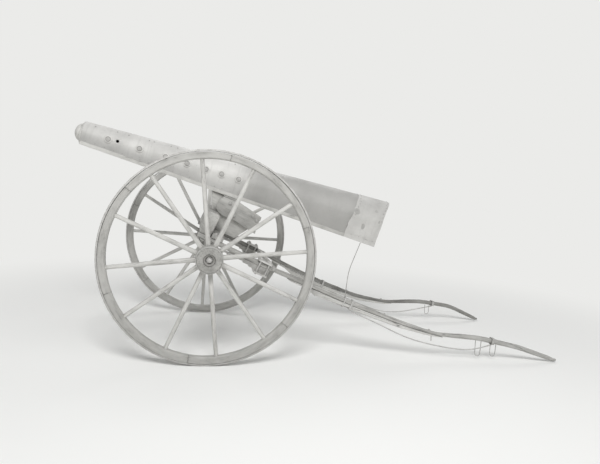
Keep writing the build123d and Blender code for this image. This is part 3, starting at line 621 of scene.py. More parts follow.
tyre_middle, tyre_half_width, tyre_half_depth, tyre_steps = 0.7035, 0.023, 0.0065, 220
tyre_half = [(0.019, 0.0063), (0.0215, 0.0056), (tyre_half_width, 0.0030), (tyre_half_width, -tyre_half_depth)]
tyre_outline = [
    *[(-side, rise) for side, rise in tyre_half[::-1]], (0, tyre_half_depth), *tyre_half, (0, -tyre_half_depth)
]
felloe_middle, felloe_half_width, felloe_half_depth, felloe_steps = 0.6718, 0.024, 0.025, 64
joint_gap = radians(0.035)
first_joint = {"near": 21.0, "far": -21.0}
for name, side in sides:
    hub, outward = hub_of(side)
    tyre = swept(
        f"{name}_tyre_ring", around(hub, outward, tyre_middle, tyre_steps), [tyre_outline] * tyre_steps,
        closed=True, wear=0.0012, wear_size=0.03, seed=1,
    )
    fit(tyre, tyre_iron, f"{name}_wheel", "wheel_iron", f"{name}_tyre")

    felloes = []
    for number in range(6):
        start = radians(first_joint[name] - side * 60 * number) - side * joint_gap
        turn = -side * (radians(60) - 2 * joint_gap) * felloe_steps / (felloe_steps - 1)
        stations = around(hub, outward, felloe_middle, felloe_steps, start, turn)
        shift = 0.0006 * sin(number * 2.4)
        half = felloe_half_width
        sections = []
        for station in stations:
            drawn_in = 0.0004 + 0.0034 * max(0, (station[2].z + 0.35) / 1.35) ** 1.5
            top = felloe_half_depth - drawn_in
            sections.append([
                (half + shift, -0.017), (half + shift, 0.0), (half + shift, top - 0.002), (half - 0.002 + shift, top),
                (0, top), (-half + 0.002 + shift, top), (-half + shift, top - 0.002), (-half + shift, 0.0),
                (-half + shift, -0.017), (-half + 0.0025 + shift, -0.0198), (-half + 0.008 + shift, -felloe_half_depth),
                (0, -felloe_half_depth), (half - 0.008 + shift, -felloe_half_depth), (half - 0.0025 + shift, -0.0198),
            ])
        seed = number + (3 if side < 0 else 13)
        felloes.append(swept("felloe", stations, sections, wear=0.0016, wear_size=0.035, seed=seed, sharp=32))
    fit(joined(f"{name}_felloe_ring", felloes), wheel_paint, f"{name}_wheel", "wheel_wood", f"{name}_felloes")


# The spokes: twelve cleft ash spokes to a wheel, square-shouldered at the nave and shaved to an oval towards the rim.
# They lean outwards from nave to rim, which gives the wheel its dish.
def shaved(width, depth, squareness, points=16):
    """Outline between an oval and a square, for (across, up) points."""
    outline = []
    for count in range(points):
        angle = 2 * pi * count / points
        side, rise = cos(angle), sin(angle)
        outline.append((
            width / 2 * (abs(side) ** (2 / squareness)) * (1 if side > 0 else -1),
            depth / 2 * (abs(rise) ** (2 / squareness)) * (1 if rise > 0 else -1),
        ))
    return outline


first_spoke = {"near": 6.8, "far": -1.0}
spoke_root, spoke_tip, spoke_dish, spoke_steps = 0.075, 0.6548, 0.026, 28
spoke_start, spoke_run, root_width, root_depth, shoulder_from = 0.012, 0.566, 0.034, 0.044, 0.97
for name, side in sides:
    hub, outward = hub_of(side)
    spokes = []
    for number in range(12):
        angle = radians(first_spoke[name] + 30 * number)
        out = Vector((cos(angle), 0, sin(angle)))
        sideways = Vector((-sin(angle), 0, cos(angle)))
        root = hub + out * spoke_root - outward * spoke_dish
        along = (hub + out * spoke_tip - root).normalized()
        stations, sections = [], []
        for step in range(spoke_steps + 1):
            part = step / spoke_steps
            reach = spoke_start + part * spoke_run
            bow = 0.0012 * sin(part * pi) * sin(number * 1.9)
            stations.append((root + along * reach + sideways * bow, sideways, along.cross(sideways)))
            width = root_width - 0.006 * part - 0.002 * sin(min(1, part * 3.2) * pi)
            depth = root_depth - 0.014 * min(1, part * 1.25)
            squareness = 6 - 3.4 * min(1, part * 5)
            if part > shoulder_from:
                width, depth = width + 0.002, depth + 0.002
            sections.append(shaved(width, depth, squareness))
        seed = number + (20 if side < 0 else 35)
        spokes.append(swept("spoke", stations, sections, wear=0.0011, wear_size=0.03, seed=seed))
    fit(joined(f"{name}_spoke_set", spokes), spoke_paint, f"{name}_wheel", "wheel_wood", f"{name}_spokes")


# The naves: turned elm barrels, bored for the axle, checked all round by the weather, with an iron hoop at each end.
# Old grease, gone grey with dust, is packed round the axle nut in the open mouth.
def turned(name, side, profile, radius, steps, **finish):
    """Ring turned about a wheel's axle from (along the axis, radius) points in metres, swept at a radius inside it."""
    outline = [(along, reach - radius) for along, reach in profile]
    return swept(name, around(*hub_of(side), radius, steps), [outline] * steps, closed=True, **finish)


nave_profile = [
    (0.065, 0.0405), (0.065, 0.055), (0.065, 0.070), (0.065, 0.081), (0.062, 0.084), (0.037, 0.084), (0.034, 0.0855),
    (0.015, 0.089), (0.004, 0.0915), (0.000, 0.092), (-0.020, 0.0925), (-0.048, 0.092), (-0.054, 0.092),
    (-0.058, 0.0905), (-0.090, 0.0875), (-0.120, 0.080), (-0.146, 0.0715), (-0.151, 0.070), (-0.172, 0.070),
    (-0.175, 0.067), (-0.175, 0.045), (-0.175, 0.0235), (0.0195, 0.0235), (0.020, 0.036), (0.030, 0.038),
    (0.061, 0.038),
]
grease_profile = [
    (0.028, 0.0375), (0.057, 0.0375), (0.0595, 0.0355), (0.0575, 0.032), (0.0515, 0.0275), (0.049, 0.0245),
    (0.028, 0.0245),
]
nave_paint = old_paint("nave_paint_on_elm", "#AFAEAA", "#908F8B", "#7F7E79", check_gap=0.009, bare_share=0.46)
hoop_iron = worn_iron("hoop_iron", "#A9A8A5", "#8B8985", "#C2C1BE", metallic=0.15)
dusty_grease = worn_iron("dusty_grease", "#A19F9B", "#8A8884", "#B4B3AF", roughness=0.72, metallic=0.0)
for name, side in sides:
    nave = turned(
        f"{name}_nave_barrel", side, nave_profile, 0.06, 96, wear=0.0014, wear_size=0.018, seed=2, order=(1, 0, 2),
        sharp=28
    )
    fit(nave, nave_paint, f"{name}_wheel", "wheel_wood", f"{name}_nave")
    hoops = []
    for front, width, radius in ((0.065, 0.028, 0.0842), (-0.151, 0.024, 0.0702)):
        hoop_profile = [
            (front - width, radius), (front - width, radius + 0.0045), (front - width + 0.0015, radius + 0.006),
            (front - 0.0015, radius + 0.006), (front, radius + 0.0045), (front, radius),
        ]
        hoops.append(turned("hoop", side, hoop_profile, radius, 72, wear=0.0006, wear_size=0.02, seed=4))
    fit(joined(f"{name}_nave_bands", hoops), hoop_iron, f"{name}_wheel", "wheel_iron", f"{name}_nave_hoops")
    grease = turned(f"{name}_mouth_grease", side, grease_profile, 0.03, 60, wear=0.0022, wear_size=0.011, seed=6)
    fit(grease, dusty_grease, f"{name}_wheel", "wheel_iron")


# The axle: a square forged beam with a collar, an arm turned for the nave and a nut at each end.
# It is dull with rust; the nut is hexagonal, on a turned washer, and a split pin through the arm's end keeps it on.
def eased(name, node, ease=0.0012):
    """Copy of a plain solid with its sharp edges rubbed down, its grain running across the cart."""
    form = bmesh.new()
    form.from_mesh(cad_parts[node].data)
    grain = form.verts.layers.float_vector.new("grain")
    bmesh.ops.remove_doubles(form, verts=form.verts, dist=0.00002)
    bmesh.ops.dissolve_limit(form, angle_limit=radians(0.5), verts=form.verts, edges=form.edges)
    edges = [edge for edge in form.edges if edge.is_manifold and edge.calc_face_angle(0) > radians(28)]
    bmesh.ops.bevel(form, geom=edges, offset=ease, segments=2, affect="EDGES", clamp_overlap=True)
    for corner in form.verts:
        corner[grain] = (corner.co.y, corner.co.x, corner.co.z)
    mesh = bpy.data.meshes.new(name)
    form.to_mesh(mesh)
    form.free()
    mesh.shade_smooth()
    mesh.set_sharp_from_angle(angle=radians(40))
    piece = bpy.data.objects.new(name, mesh)
    bpy.context.scene.collection.objects.link(piece)
    return piece


axle_iron = worn_iron("axle_iron", "#A9A8A5", "#93918D", "#C4C3C0", roughness=0.68, metallic=0.1)
fit(eased("axle_beam", "axle", 0.002), axle_iron, "cart", "dark_iron", "axle")
nut_iron = worn_iron("axle_nut_iron", "#BBBAB7", "#9E9C99", "#D2D1CE", roughness=0.6, metallic=0.1)
arm_start, arm_end, arm_radius = 0.040, 0.0615, 0.0135
pin_reach, pin_start, pin_end, pin_radius = 0.0535, -0.021, 0.0225, 0.0026
for name, side in sides:
    hub, outward = hub_of(side)
    parts = [eased(f"{name}_hub_nut", f"{name}_axle_nut")]
    for middle, axis, first, low, high, radius in (
        (hub, outward, Vector((0, 0, 1)), arm_start, arm_end, arm_radius),
        (hub + outward * pin_reach, Vector((0.8, 0, 0.6)), outward, pin_start, pin_end, pin_radius),
    ):
        stations = [(middle + axis * rise, first, axis.cross(first)) for rise in (low, high - 0.002, high)]
        parts.append(swept("arm_part", stations, [ring(radius * share, 20) for share in (1, 1, 0.82)]))
    fit(joined(f"{name}_hub_nut", parts), nut_iron, "cart", "dark_iron", f"{name}_axle_nut")


# The springs: a quarter spring of five leaves under each shaft, its butt clamped forward, its tail down on the axle.
# Two plates with four rods clamp the butt to the shaft, and two bent bolts hold the tail on an oak pad over the axle.
slope = radians(23)
bed_along, bed_up = Vector((cos(slope), 0, -sin(slope))), Vector((sin(slope), 0, cos(slope)))


def on_bed(along, across, above):
    """Point in the frame from millimetres along the bed, across it and above the axle square to it."""
    return place(0, across, axle_height) + (bed_along * along + bed_up * above) / 1000


spring_iron = worn_iron("spring_iron", "#B9B8B5", "#A2A09C", "#D2D1CE", roughness=0.64, metallic=0.1)
# The clips' iron is a paler copy of the spring iron: painted light against the shade they sit in under the tube.
lit_clip_iron = worn_iron("lit_clip_iron", "#CFCECB", "#B3B1AE", "#DEDDDA", roughness=0.66, metallic=0.05)
camber_radius, camber_start, leaf_front, leaf_top, leaf_pitch, leaf_steps = 2380, 300, 431, 77, 9, 24
leaf_width, leaf_thickness, rounded_end = 0.050, 0.0086, 0.72
for name, side in sides:
    leaves = []
    for number, rear in enumerate((-48, 110, 236, 284, 318)):
        radius = camber_radius - leaf_pitch * (number + 0.5)
        places, sections = [], []
        for step in range(leaf_steps + 1):
            along = rear + (leaf_front - rear) * step / leaf_steps
            run = max(0, camber_start - along)
            places.append(on_bed(along, side * bed_shaft_spread, leaf_top - camber_radius + sqrt(radius**2 - run**2)))
            width = leaf_width * (1 if step else rounded_end) - 0.0002 * number
            sections.append(rounded_box(width, leaf_thickness, 0.002, 2))
        leaves.append(swept("leaf", upright_stations(places), sections, wear=0.0005, wear_size=0.03, seed=number + 5))
    fit(joined(f"{name}_leaf_stack", leaves), spring_iron, "cart", "dark_iron", f"{name}_spring")
    fit(eased(f"{name}_butt_clip", f"{name}_spring_clip"), lit_clip_iron, "cart", "dark_iron", f"{name}_spring_clip")
    fit(eased(f"{name}_tail_clip", f"{name}_axle_clip", 0.001), lit_clip_iron, "cart", "dark_iron", f"{name}_axle_clip")


# The shafts: two steamed ash poles, squared over the bed, rounded by draw-knife towards the tips and silvered by
# the weather. A bar of the same wood stiffens each from below. The poles have sprung out of true with each other.
def bare_ash(name, pale_hex, grey_hex, dark_hex):
    """Bare wood silvered by the weather: raised grain, dark rings between, and long drying checks.

    The rings are drawn 4.5 mm apart and the fibres 1.6 mm wide, coarser than real ones, so that they show. Corners and
    nooks are darkened by ambient occlusion, painted shade that stands also for grime.
    """
    ring_gap = 0.0045
    material = new_material(name)
    grain = add_node(material, "ShaderNodeAttribute", attribute_name="grain").outputs["Vector"]
    drift_place = add_node(material, "ShaderNodeMapping", {"Vector": grain, "Scale": (1 / 0.4, 1 / 0.03, 1 / 0.03)})
    drift = add_node(material, "ShaderNodeTexNoise", {"Vector": drift_place.outputs[0], "Scale": 1.0, "Detail": 3.0})
    ring_place = add_node(
        material, "ShaderNodeMapping", {"Vector": grain, "Scale": (1 / 0.5, 1 / ring_gap, 1 / ring_gap)}
    )
    rings = add_node(
        material,
        "ShaderNodeTexNoise",
        {"Vector": ring_place.outputs[0], "Scale": 1.0, "Detail": 4.0, "Roughness": 0.7, "Distortion": 0.3},
    )
    fibre_place = add_node(
        material, "ShaderNodeMapping", {"Vector": grain, "Scale": (1 / 0.06, 1 / 0.0016, 1 / 0.0016)}
    )
    fibres = add_node(material, "ShaderNodeTexNoise", {"Vector": fibre_place.outputs[0], "Scale": 1.0, "Detail": 2.0})
    blotch = add_node(
        material, "ShaderNodeTexNoise", {"Vector": grain, "Scale": 6.0, "Detail": 4.0, "Roughness": 0.6}
    )
    tone = add_node(material, "ShaderNodeMath", {0: rings.outputs[0], 1: blotch.outputs[0]}, operation="ADD")
    half = add_node(material, "ShaderNodeMath", {0: tone.outputs[0], 1: 0.5}, operation="MULTIPLY")
    colour = add_node(
        material,
        "ShaderNodeValToRGB",
        {"Fac": half.outputs[0]},
        stops=((0.34, linear(dark_hex)), (0.47, linear(grey_hex)), (0.6, linear(pale_hex))),
    )
    check_place = add_node(material, "ShaderNodeMapping", {"Vector": grain, "Scale": (1 / 0.35, 1 / 0.02, 1 / 0.02)})
    splits = add_node(
        material, "ShaderNodeTexVoronoi", {"Vector": check_place.outputs[0], "Scale": 1.0}, feature="DISTANCE_TO_EDGE"
    )
    open_split = add_node(
        material,
        "ShaderNodeMapRange",
        {"Value": splits.outputs["Distance"], "From Min": 0.0, "From Max": 0.05, "To Min": 1.0, "To Max": 0.0},
    )
    some = add_node(material, "ShaderNodeMapRange", {"Value": drift.outputs[0], "From Min": 0.45, "From Max": 0.6})
    checks = add_node(
        material, "ShaderNodeMath", {0: open_split.outputs[0], 1: some.outputs[0]}, operation="MULTIPLY"
    )
    # Painted shade: ambient occlusion darkens the wood in corners and nooks, standing also for grime gathered there.
    nooks = add_node(material, "ShaderNodeAmbientOcclusion", {"Distance": 0.03}, samples=6)
    grime_and_nook_shade = add_node(
        material,
        "ShaderNodeMapRange",
        {"Value": nooks.outputs["AO"], "From Min": 0.2, "From Max": 0.75, "To Min": 0.66, "To Max": 1.0},
    )
    grimed_and_shaded = add_node(
        material,
        "ShaderNodeMix",
        {"Factor": 1.0, 6: colour.outputs[0], 7: grime_and_nook_shade.outputs[0]},
        data_type="RGBA",
        blend_type="MULTIPLY",
    )
    final = add_node(
        material, "ShaderNodeMix", {"Factor": checks.outputs[0], 6: grimed_and_shaded.outputs[2], 7: linear("#5E5D5A")},
        data_type="RGBA"
    )
    height = add_node(
        material, "ShaderNodeMath", {0: checks.outputs[0], 1: -1.6, 2: rings.outputs[0]}, operation="MULTIPLY_ADD"
    )
    ridged = add_node(
        material, "ShaderNodeMath", {0: fibres.outputs[0], 1: 0.35, 2: height.outputs[0]}, operation="MULTIPLY_ADD"
    )
    relief = add_node(material, "ShaderNodeBump", {"Height": ridged.outputs[0], "Strength": 0.6, "Distance": 0.0014})
    surface = add_node(
        material,
        "ShaderNodeBsdfPrincipled",
        {"Base Color": final.outputs[2], "Roughness": 0.82, "IOR": 1.5, "Normal": relief.outputs[0]},
    )
    add_node(material, "ShaderNodeOutputMaterial", {"Surface": surface.outputs[0]})
    return material


def within(low, value, high):
    """The value, kept between two limits."""
    return max(low, min(high, value))


def shaft_middle(side, x):
    """Middle of a shaft at a distance forward of the axle, eased through its bends."""
    reach, steps = 95, 6
    if not shaft_rear + reach <= x <= shaft_tip - reach:
        return shaft_height(side, x)
    total = weights = 0
    for step in range(-steps, steps + 1):
        weight = steps + 1 - abs(step)
        total += weight * shaft_height(side, x + reach * step / steps)
        weights += weight
    return total / weights


def shaft_depth(x):
    """Depth of a shaft at a distance forward of the axle, a little more between its last bends."""
    squared_depth, more_depth, grows_from, full_from, shrinks_from = 34, 4, 1732, 2038, 2350
    growing = within(0, (x - grows_from) / (full_from - grows_from), 1)
    return squared_depth + more_depth * growing * within(0, (shaft_tip - x) / (shaft_tip - shrinks_from), 1)


def read_off(table, x):
    """Value at a distance forward, from a table of (distance, value) pairs, straight between them."""
    for before, after in zip(table, table[1:]):
        if x <= after[0]:
            return before[1] + (after[1] - before[1]) * max(0, x - before[0]) / (after[0] - before[0])
    return table[-1][1]


def planed(x):
    """How much thinner a shaft has been planed and worn on top, in millimetres, along the stretch over its bar."""
    return read_off(((1180, 0), (1290, 8), (1430, 8), (1520, 11), (1600, 14), (1690, 12), (1780, 5), (1900, 0)), x)


# The far shaft's ash is a darker copy of the near one's: painted shade for the far pole, which lies in the cart's
# shadow.
shaft_wood = {
    "near": bare_ash("silvered_ash", "#C9C8C4", "#AFAEAA", "#8A8985"),
    "far": bare_ash("shaded_far_ash", "#A2A19D", "#8A8985", "#6A6966"),
}
# The bars' ash is a paler copy of the shafts': painted light for their faces, which are turned to the light.
lit_bar_wood = bare_ash("lit_stiffening_ash", "#DDDCD8", "#C8C7C3", "#A3A29E")
rubbed_tip, rubbed_height, shaft_step = 2666, 19, 14
shaft_width, narrowing, rounded_from, rounded_to, thin_tip_from, thin_tip = 44, 8, 1560, 1940, 2590, 0.42
ground_gap = 0.0006
bar_rear, bar_front, bar_steps, bar_width, bar_gap = 560, 1746, 79, 0.038, 0.6
bar_depths = (
    (bar_rear, 3), (585, 12), (700, 15), (770, 42), (990, 34), (1240, 31),
    (1420, 28), (1500, 24), (1600, 20), (1670, 14), (bar_front, 6),
)
for name, side in sides:
    reaches = []
    x = shaft_rear
    while x < shaft_tip:
        reaches.append(x)
        x += shaft_step
    places = [place(x, side * spread_at(x), shaft_middle(side, x) - planed(x) / 2) for x in reaches]
    places.append(place(rubbed_tip, side * spread_at(rubbed_tip), rubbed_height))
    sections = []
    for x in [*reaches, rubbed_tip]:
        forward = within(0, (x - rounded_from) / (rounded_to - rounded_from), 1)
        width = shaft_width - narrowing * within(0, (x - shaft_splay_start) / (shaft_tip - shaft_splay_start), 1)
        depth = shaft_depth(x) - planed(x)
        tip = max(0, (x - thin_tip_from) / (shaft_tip - thin_tip_from))
        knots = 1 + 0.05 * forward * noise.noise(Vector((x / 170, side * 3, 0)))
        width, depth = width * knots * (1 - thin_tip * tip**2), depth * knots * (1 - thin_tip * tip**2)
        if x == shaft_rear:
            width, depth = width - 5, depth - 5
        sections.append(shaved(width / 1000, depth / 1000, 7 - 4.6 * forward, 20))
    shaft = swept(
        f"{name}_ash_shaft", upright_stations(places), sections, wear=0.0022, wear_size=0.06, seed=30 + side
    )
    for corner in shaft.data.vertices:
        corner.co.z = max(ground_gap, corner.co.z)
    fit(shaft, shaft_wood[name], "cart", "shaft_wood", f"{name}_shaft")

    places, sections = [], []
    for step in range(bar_steps + 1):
        x = bar_rear + (bar_front - bar_rear) * step / bar_steps
        depth = read_off(bar_depths, x)
        rise = (shaft_middle(side, x + 20) - shaft_middle(side, x - 20)) / 40
        top = shaft_middle(side, x) - shaft_depth(x) / 2 * sqrt(1 + rise**2) - bar_gap
        places.append(place(x, side * spread_at(x), top - depth / 2))
        depth /= sqrt(1 + rise**2)
        sections.append(rounded_box(bar_width, depth / 1000, min(0.006, depth / 2200)))
    bar = swept(
        f"{name}_stiffening_bar", upright_stations(places), sections, wear=0.002, wear_size=0.045, seed=40 + side
    )
    fit(bar, lit_bar_wood, "cart", "shaft_wood", f"{name}_shaft_bar")
    band = eased(f"{name}_trace_band", f"{name}_shaft_band", 0.0008)
    fit(band, hoop_iron, "cart", "dark_iron", f"{name}_shaft_band")

pad_wood = bare_ash("pad_oak", "#A3A29E", "#83827E", "#5A5957")
for name, side in sides:
    fit(eased(f"{name}_pad_block", f"{name}_spring_pad", 0.002), pad_wood, "cart", "bed_wood", f"{name}_spring_pad")


# The lashings: each trace is tied off with a few turns of cord round its shaft and bar, and one more cord holds the
# tube down. It runs from the tube's foot to the near shaft, drawn taut, with a kink where it was once knotted.
def bound(name, centre, along, up, radius, turns):
    """Cord wound round a shaft and its bar, turn beside turn."""
    out_side = up.cross(along).normalized()
    half_width, above, below, corner = 0.0213, 0.0173, 0.0508, 0.007
    path = []
    width, top, bottom = half_width + radius, above + radius, -below - radius
    for side, rise, start in ((width, top, 0), (-width, top, 1), (-width, bottom, 2), (width, bottom, 3)):
        middle = (side - corner * (1 if side > 0 else -1), rise - corner * (1 if rise > 0 else -1))
        for step in range(5):
            angle = (start + step / 4) * pi / 2
            path.append((middle[0] + corner * cos(angle), middle[1] + corner * sin(angle), angle))
    count = len(path) * turns
    stations, sections = [], []
    for number in range(count + 1):
        side, rise, angle = path[number % len(path)]
        shift = (number / len(path) - turns / 2) * radius * 2.05
        lean = 0.0012 * noise.noise(Vector((number * 0.21, 3.1, radius * 900)))
        spot = centre + out_side * side + up * rise + along * (shift + lean)
        stations.append((spot, along, out_side * cos(angle) + up * sin(angle)))
        sections.append(strand_ring(radius, 0.1, number * 0.9))
    return swept(name, stations, sections, sharp=80)


def shaft_frame(side, x):
    """(middle, along, up) of a shaft at a distance forward of the axle."""
    ahead, behind = [
        place(x + reach, side * spread_at(x + reach), shaft_middle(side, x + reach)) for reach in (20, -20)
    ]
    along = (ahead - behind).normalized()
    across = Vector((0, 0, 1)).cross(along).normalized()
    return place(x, side * spread_at(x), shaft_middle(side, x)), along, along.cross(across)


# The lashings' hemp is a paler copy of the traces': painted light against the shade the close-wound turns cast on each
# other.
lit_lashing_hemp = old_hemp("lit_lashing_hemp", "#DDDCD9", "#A9A8A5")
for name, side, x in (("near", -1, 1045), ("far", 1, 1060)):
    lashing = bound(f"{name}_trace_lashing", *shaft_frame(side, x), 0.0027, 3)
    fit(lashing, lit_lashing_hemp, "cart", "rope", f"{name}_trace_tie")

tie_at, tie_radius, shaft_top = 988, 0.0032, 0.0205
centre, along, up = shaft_frame(-1, tie_at)
lashing = bound("tube_tie_lashing", centre, along, up, 0.0024, 2)
lashing.data.materials.append(lit_lashing_hemp)
foot_eye, kink, knot_top = place(1186, -142, 800), place(1048, -352, 611), centre + up * shaft_top
route = [foot_eye, foot_eye.lerp(kink, 0.5), kink, place(1012, -440, 497), place(996, -488, 440), knot_top]
step, lay = 0.0022, 0.021
line = even_steps(rope_line(route), step)
sections = [strand_ring(tie_radius, 0.13, 6 * pi * number * step / lay) for number in range(len(line))]
taut = swept("tube_tie_cord", upright_stations(line, Vector((0, 1, 0))), sections, sharp=80)
taut.data.materials.append(loop_hemp)
tied = joined("tube_tie", [taut, lashing])
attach(tied, "cart")


# The bed: a rough plank nailed across the rear of the shafts, a bar tenoned between them in front, and a bolster
# over the axle. They are sawn softwood under thin pale paint, split at the ends.
def sawn_ends(stations, sections):
    """Stations and outlines with the two end faces eased in over 3 mm."""
    first, last = stations[0], stations[-1]
    inset = (stations[1][0] - first[0]).normalized() * 0.003
    after_first, before_last = (first[0] + inset, *first[1:]), (last[0] - inset, *last[1:])
    ends = [[(side * 0.93, rise * 0.93) for side, rise in sections[number]] for number in (0, -1)]
    return [first, after_first, *stations[1:-1], before_last, last], [ends[0], *sections, ends[1]]


bed_paint = old_paint("bed_paint_on_pine", "#C3C2BE", "#A5A4A0", "#908F8B", check_gap=0.016, bare_share=0.4)
timber_steps = 50
for node, start, end, low, high, half_span, seed in (
    ("rear_plank", -38, 48, 111, 145, 505, 50),
    ("front_bar", 434, 478, 77, 111, 453.8, 51),
    ("bolster", -128, -42, 111, 272, 480, 53),
):
    stations = []
    for step in range(timber_steps + 1):
        centre = on_bed((start + end) / 2, -half_span + 2 * half_span * step / timber_steps, (low + high) / 2)
        stations.append((centre, bed_along, bed_up))
    section = rounded_box((end - start) / 1000, (high - low) / 1000, 0.004)
    timber = sawn_ends(stations, [section] * len(stations))
    board = swept(f"{node}_timber", *timber, wear=0.0022, wear_size=0.05, seed=seed)
    fit(board, bed_paint, "cart", "bed_wood", node)


# The uprights: two side panels that carry the tube over the axle, a cheek bolted outside each, packing on the
# cheeks, and a spacer. They are thick boards under the same pale paint, the panels' copy of it paler as painted
# light against the shade they stand in; the front ends of the cheeks are chipped.
def inset_outline(outline, amount):
    """Outline moved inwards by an amount all round."""
    area = sum(
        before[0] * after[1] - after[0] * before[1] for before, after in zip(outline, outline[1:] + outline[:1])
    )
    turn = 1 if area > 0 else -1
    moved = []
    for number, corner in enumerate(outline):
        before, after = Vector(outline[number - 1]), Vector(outline[(number + 1) % len(outline)])
        corner = Vector(corner)
        first, second = (corner - before).normalized(), (after - corner).normalized()
        normal = Vector((-first.y - second.y, first.x + second.x)) * turn
        normal.normalize()
        spread = max(0.5, normal.dot(Vector((-first.y, first.x)) * turn))
        moved.append(tuple(corner + normal * amount / spread))
    return moved


def upright_board(name, corners, low, high, seed):
    """Thick board cut to an outline of (forward, height) points, with worn edges, its grain along the bed."""
    ease, edge_step = 3, 16
    outline = []
    for before, after in zip(corners, corners[1:] + corners[:1]):
        count = max(1, round(hypot(after[0] - before[0], after[1] - before[1]) / edge_step))
        for number in range(count):
            part = number / count
            outline.append((before[0] + (after[0] - before[0]) * part, before[1] + (after[1] - before[1]) * part))
    middle = (sum(x for x, z in outline) / len(outline), sum(z for x, z in outline) / len(outline))

    def local(shape):
        spots = []
        for x, z in shape:
            away = Vector((x - middle[0], 0, z - middle[1])) / 1000
            spots.append((away.dot(bed_along), away.dot(bed_up)))
        return spots

    full, small = local(outline), local(inset_outline(outline, ease))
    levels = (low, low + ease * 0.7, (low + high) / 2, high - ease * 0.7, high)
    stations = [(place(middle[0], y, middle[1]), bed_along, bed_up) for y in levels]
    sections = [small, full, full, full, small]
    return swept(name, stations, sections, wear=0.0018, wear_size=0.04, seed=seed, order=(1, 0, 2), sharp=50)


def to_world(along, above):
    """(forward, height) in millimetres of a point along and above the bed."""
    return (along * cos(slope) + above * sin(slope), axle_height - along * sin(slope) + above * cos(slope))


tube_slope = radians(13.48)
tube_start_x, tube_start_z, tube_length = -943, 1503, 2368
small_half_height, large_half_height, small_half_width, large_half_width = 88, 190, 86, 182


def tube_underside(x):
    """Height of the underside of the tube at a distance forward of the axle."""
    ends = []
    for station, half_height in ((0, small_half_height), (tube_length, large_half_height)):
        ends.append((
            tube_start_x + station * cos(tube_slope) - half_height * sin(tube_slope),
            tube_start_z - station * sin(tube_slope) - half_height * cos(tube_slope),
        ))
    (small_x, small_z), (large_x, large_z) = ends
    return small_z + (large_z - small_z) * (x - small_x) / (large_x - small_x)


cheek_corners = [
    (54, 988), (43, 1013), (50, 1043), (70, 1080), (98, 1101), (224, 1061), (315, 1005), (393, 959),
    (386, 932), (377, 925), (375, 907), (362, 886), (350, 828), (296, 857), (176, 929), (95, 956),
]
tube_gap = 0.5
panel_foot = to_world(-104, 272)
panel_corners = [
    to_world(-42, 145), to_world(150, 145), (296, 857), (296, 980), (205, tube_underside(205) - tube_gap),
    (panel_foot[0], tube_underside(panel_foot[0]) - tube_gap), panel_foot, to_world(-42, 272),
]
# The panels' paint is a paler copy of the cheeks': painted light against the shade the panels stand in.
lit_panel_paint = old_paint("lit_panel_paint_on_pine", "#D0CFCB", "#B2B1AD", "#9C9B97", check_gap=0.016, bare_share=0.4)
saddle_corners = [(98, 1101), (224, 1061), (224, tube_underside(224) - tube_gap), (98, tube_underside(98) - tube_gap)]
board_thickness, paint_gap = 36, 0.2
for name, side in sides:
    for label, node, corners, inner, paint, seed in (
        ("panel_board", "side_panel", panel_corners, 48, lit_panel_paint, 60),
        ("cheek_board", "cheek", cheek_corners, 84, bed_paint, 61),
        ("packing_wedge", "saddle", saddle_corners, 84, bed_paint, 62),
    ):
        low, high = sorted((side * inner, side * (inner + board_thickness)))
        seed += 0 if side < 0 else 5
        board = upright_board(f"{name}_{label}", corners, low + paint_gap, high - paint_gap, seed)
        fit(board, paint, "cart", "bed_wood", f"{name}_{node}")

spacer_half, spacer_steps = 47.8, 16
stations = []
for step in range(spacer_steps + 1):
    stations.append((on_bed(120, -spacer_half + 2 * spacer_half * step / spacer_steps, 194.5), bed_along, bed_up))
sections = [rounded_box(0.06, 0.099, 0.004, 2)] * len(stations)
spacer = swept("spacer_block", stations, sections, wear=0.002, wear_size=0.05, seed=70)
fit(spacer, bed_paint, "cart", "bed_wood", "panel_spacer")


# The bolts: square-shouldered coach bolts with hexagon nuts through the cheeks, the plank, the bars and the shafts.
# They are forged iron under rubbed paint; one bolt near the front of the near bar was never cut short and hangs
# proud below it.
def turned_on(face, out, along, profile, corners, twist):
    """Round or many-sided piece that stands out from a face, through (rise, radius) points in metres."""
    stations = [(face + out * rise, along, out.cross(along).normalized()) for rise, radius in profile]
    return swept("turned_part", stations, [ring(radius, corners, twist) for rise, radius in profile], sharp=32)


def bolt_end(face, out, along, washer, nut, twist):
    """Washer, hexagon nut and bolt end on a face, in metres, with the nut turned by twist."""
    profiles = (
        (((-0.002, washer), (0.0018, washer), (0.0026, washer * 0.93)), 24),
        (((0.0016, nut * 0.96), (0.0026, nut), (0.0016 + nut * 0.82, nut), (0.0026 + nut * 0.86, nut * 0.88)), 6),
        (((nut * 0.6, nut * 0.46), (nut * 1.15, nut * 0.46), (nut * 1.22, nut * 0.36)), 12),
    )
    return [turned_on(face, out, along, profile, corners, twist) for profile, corners in profiles]


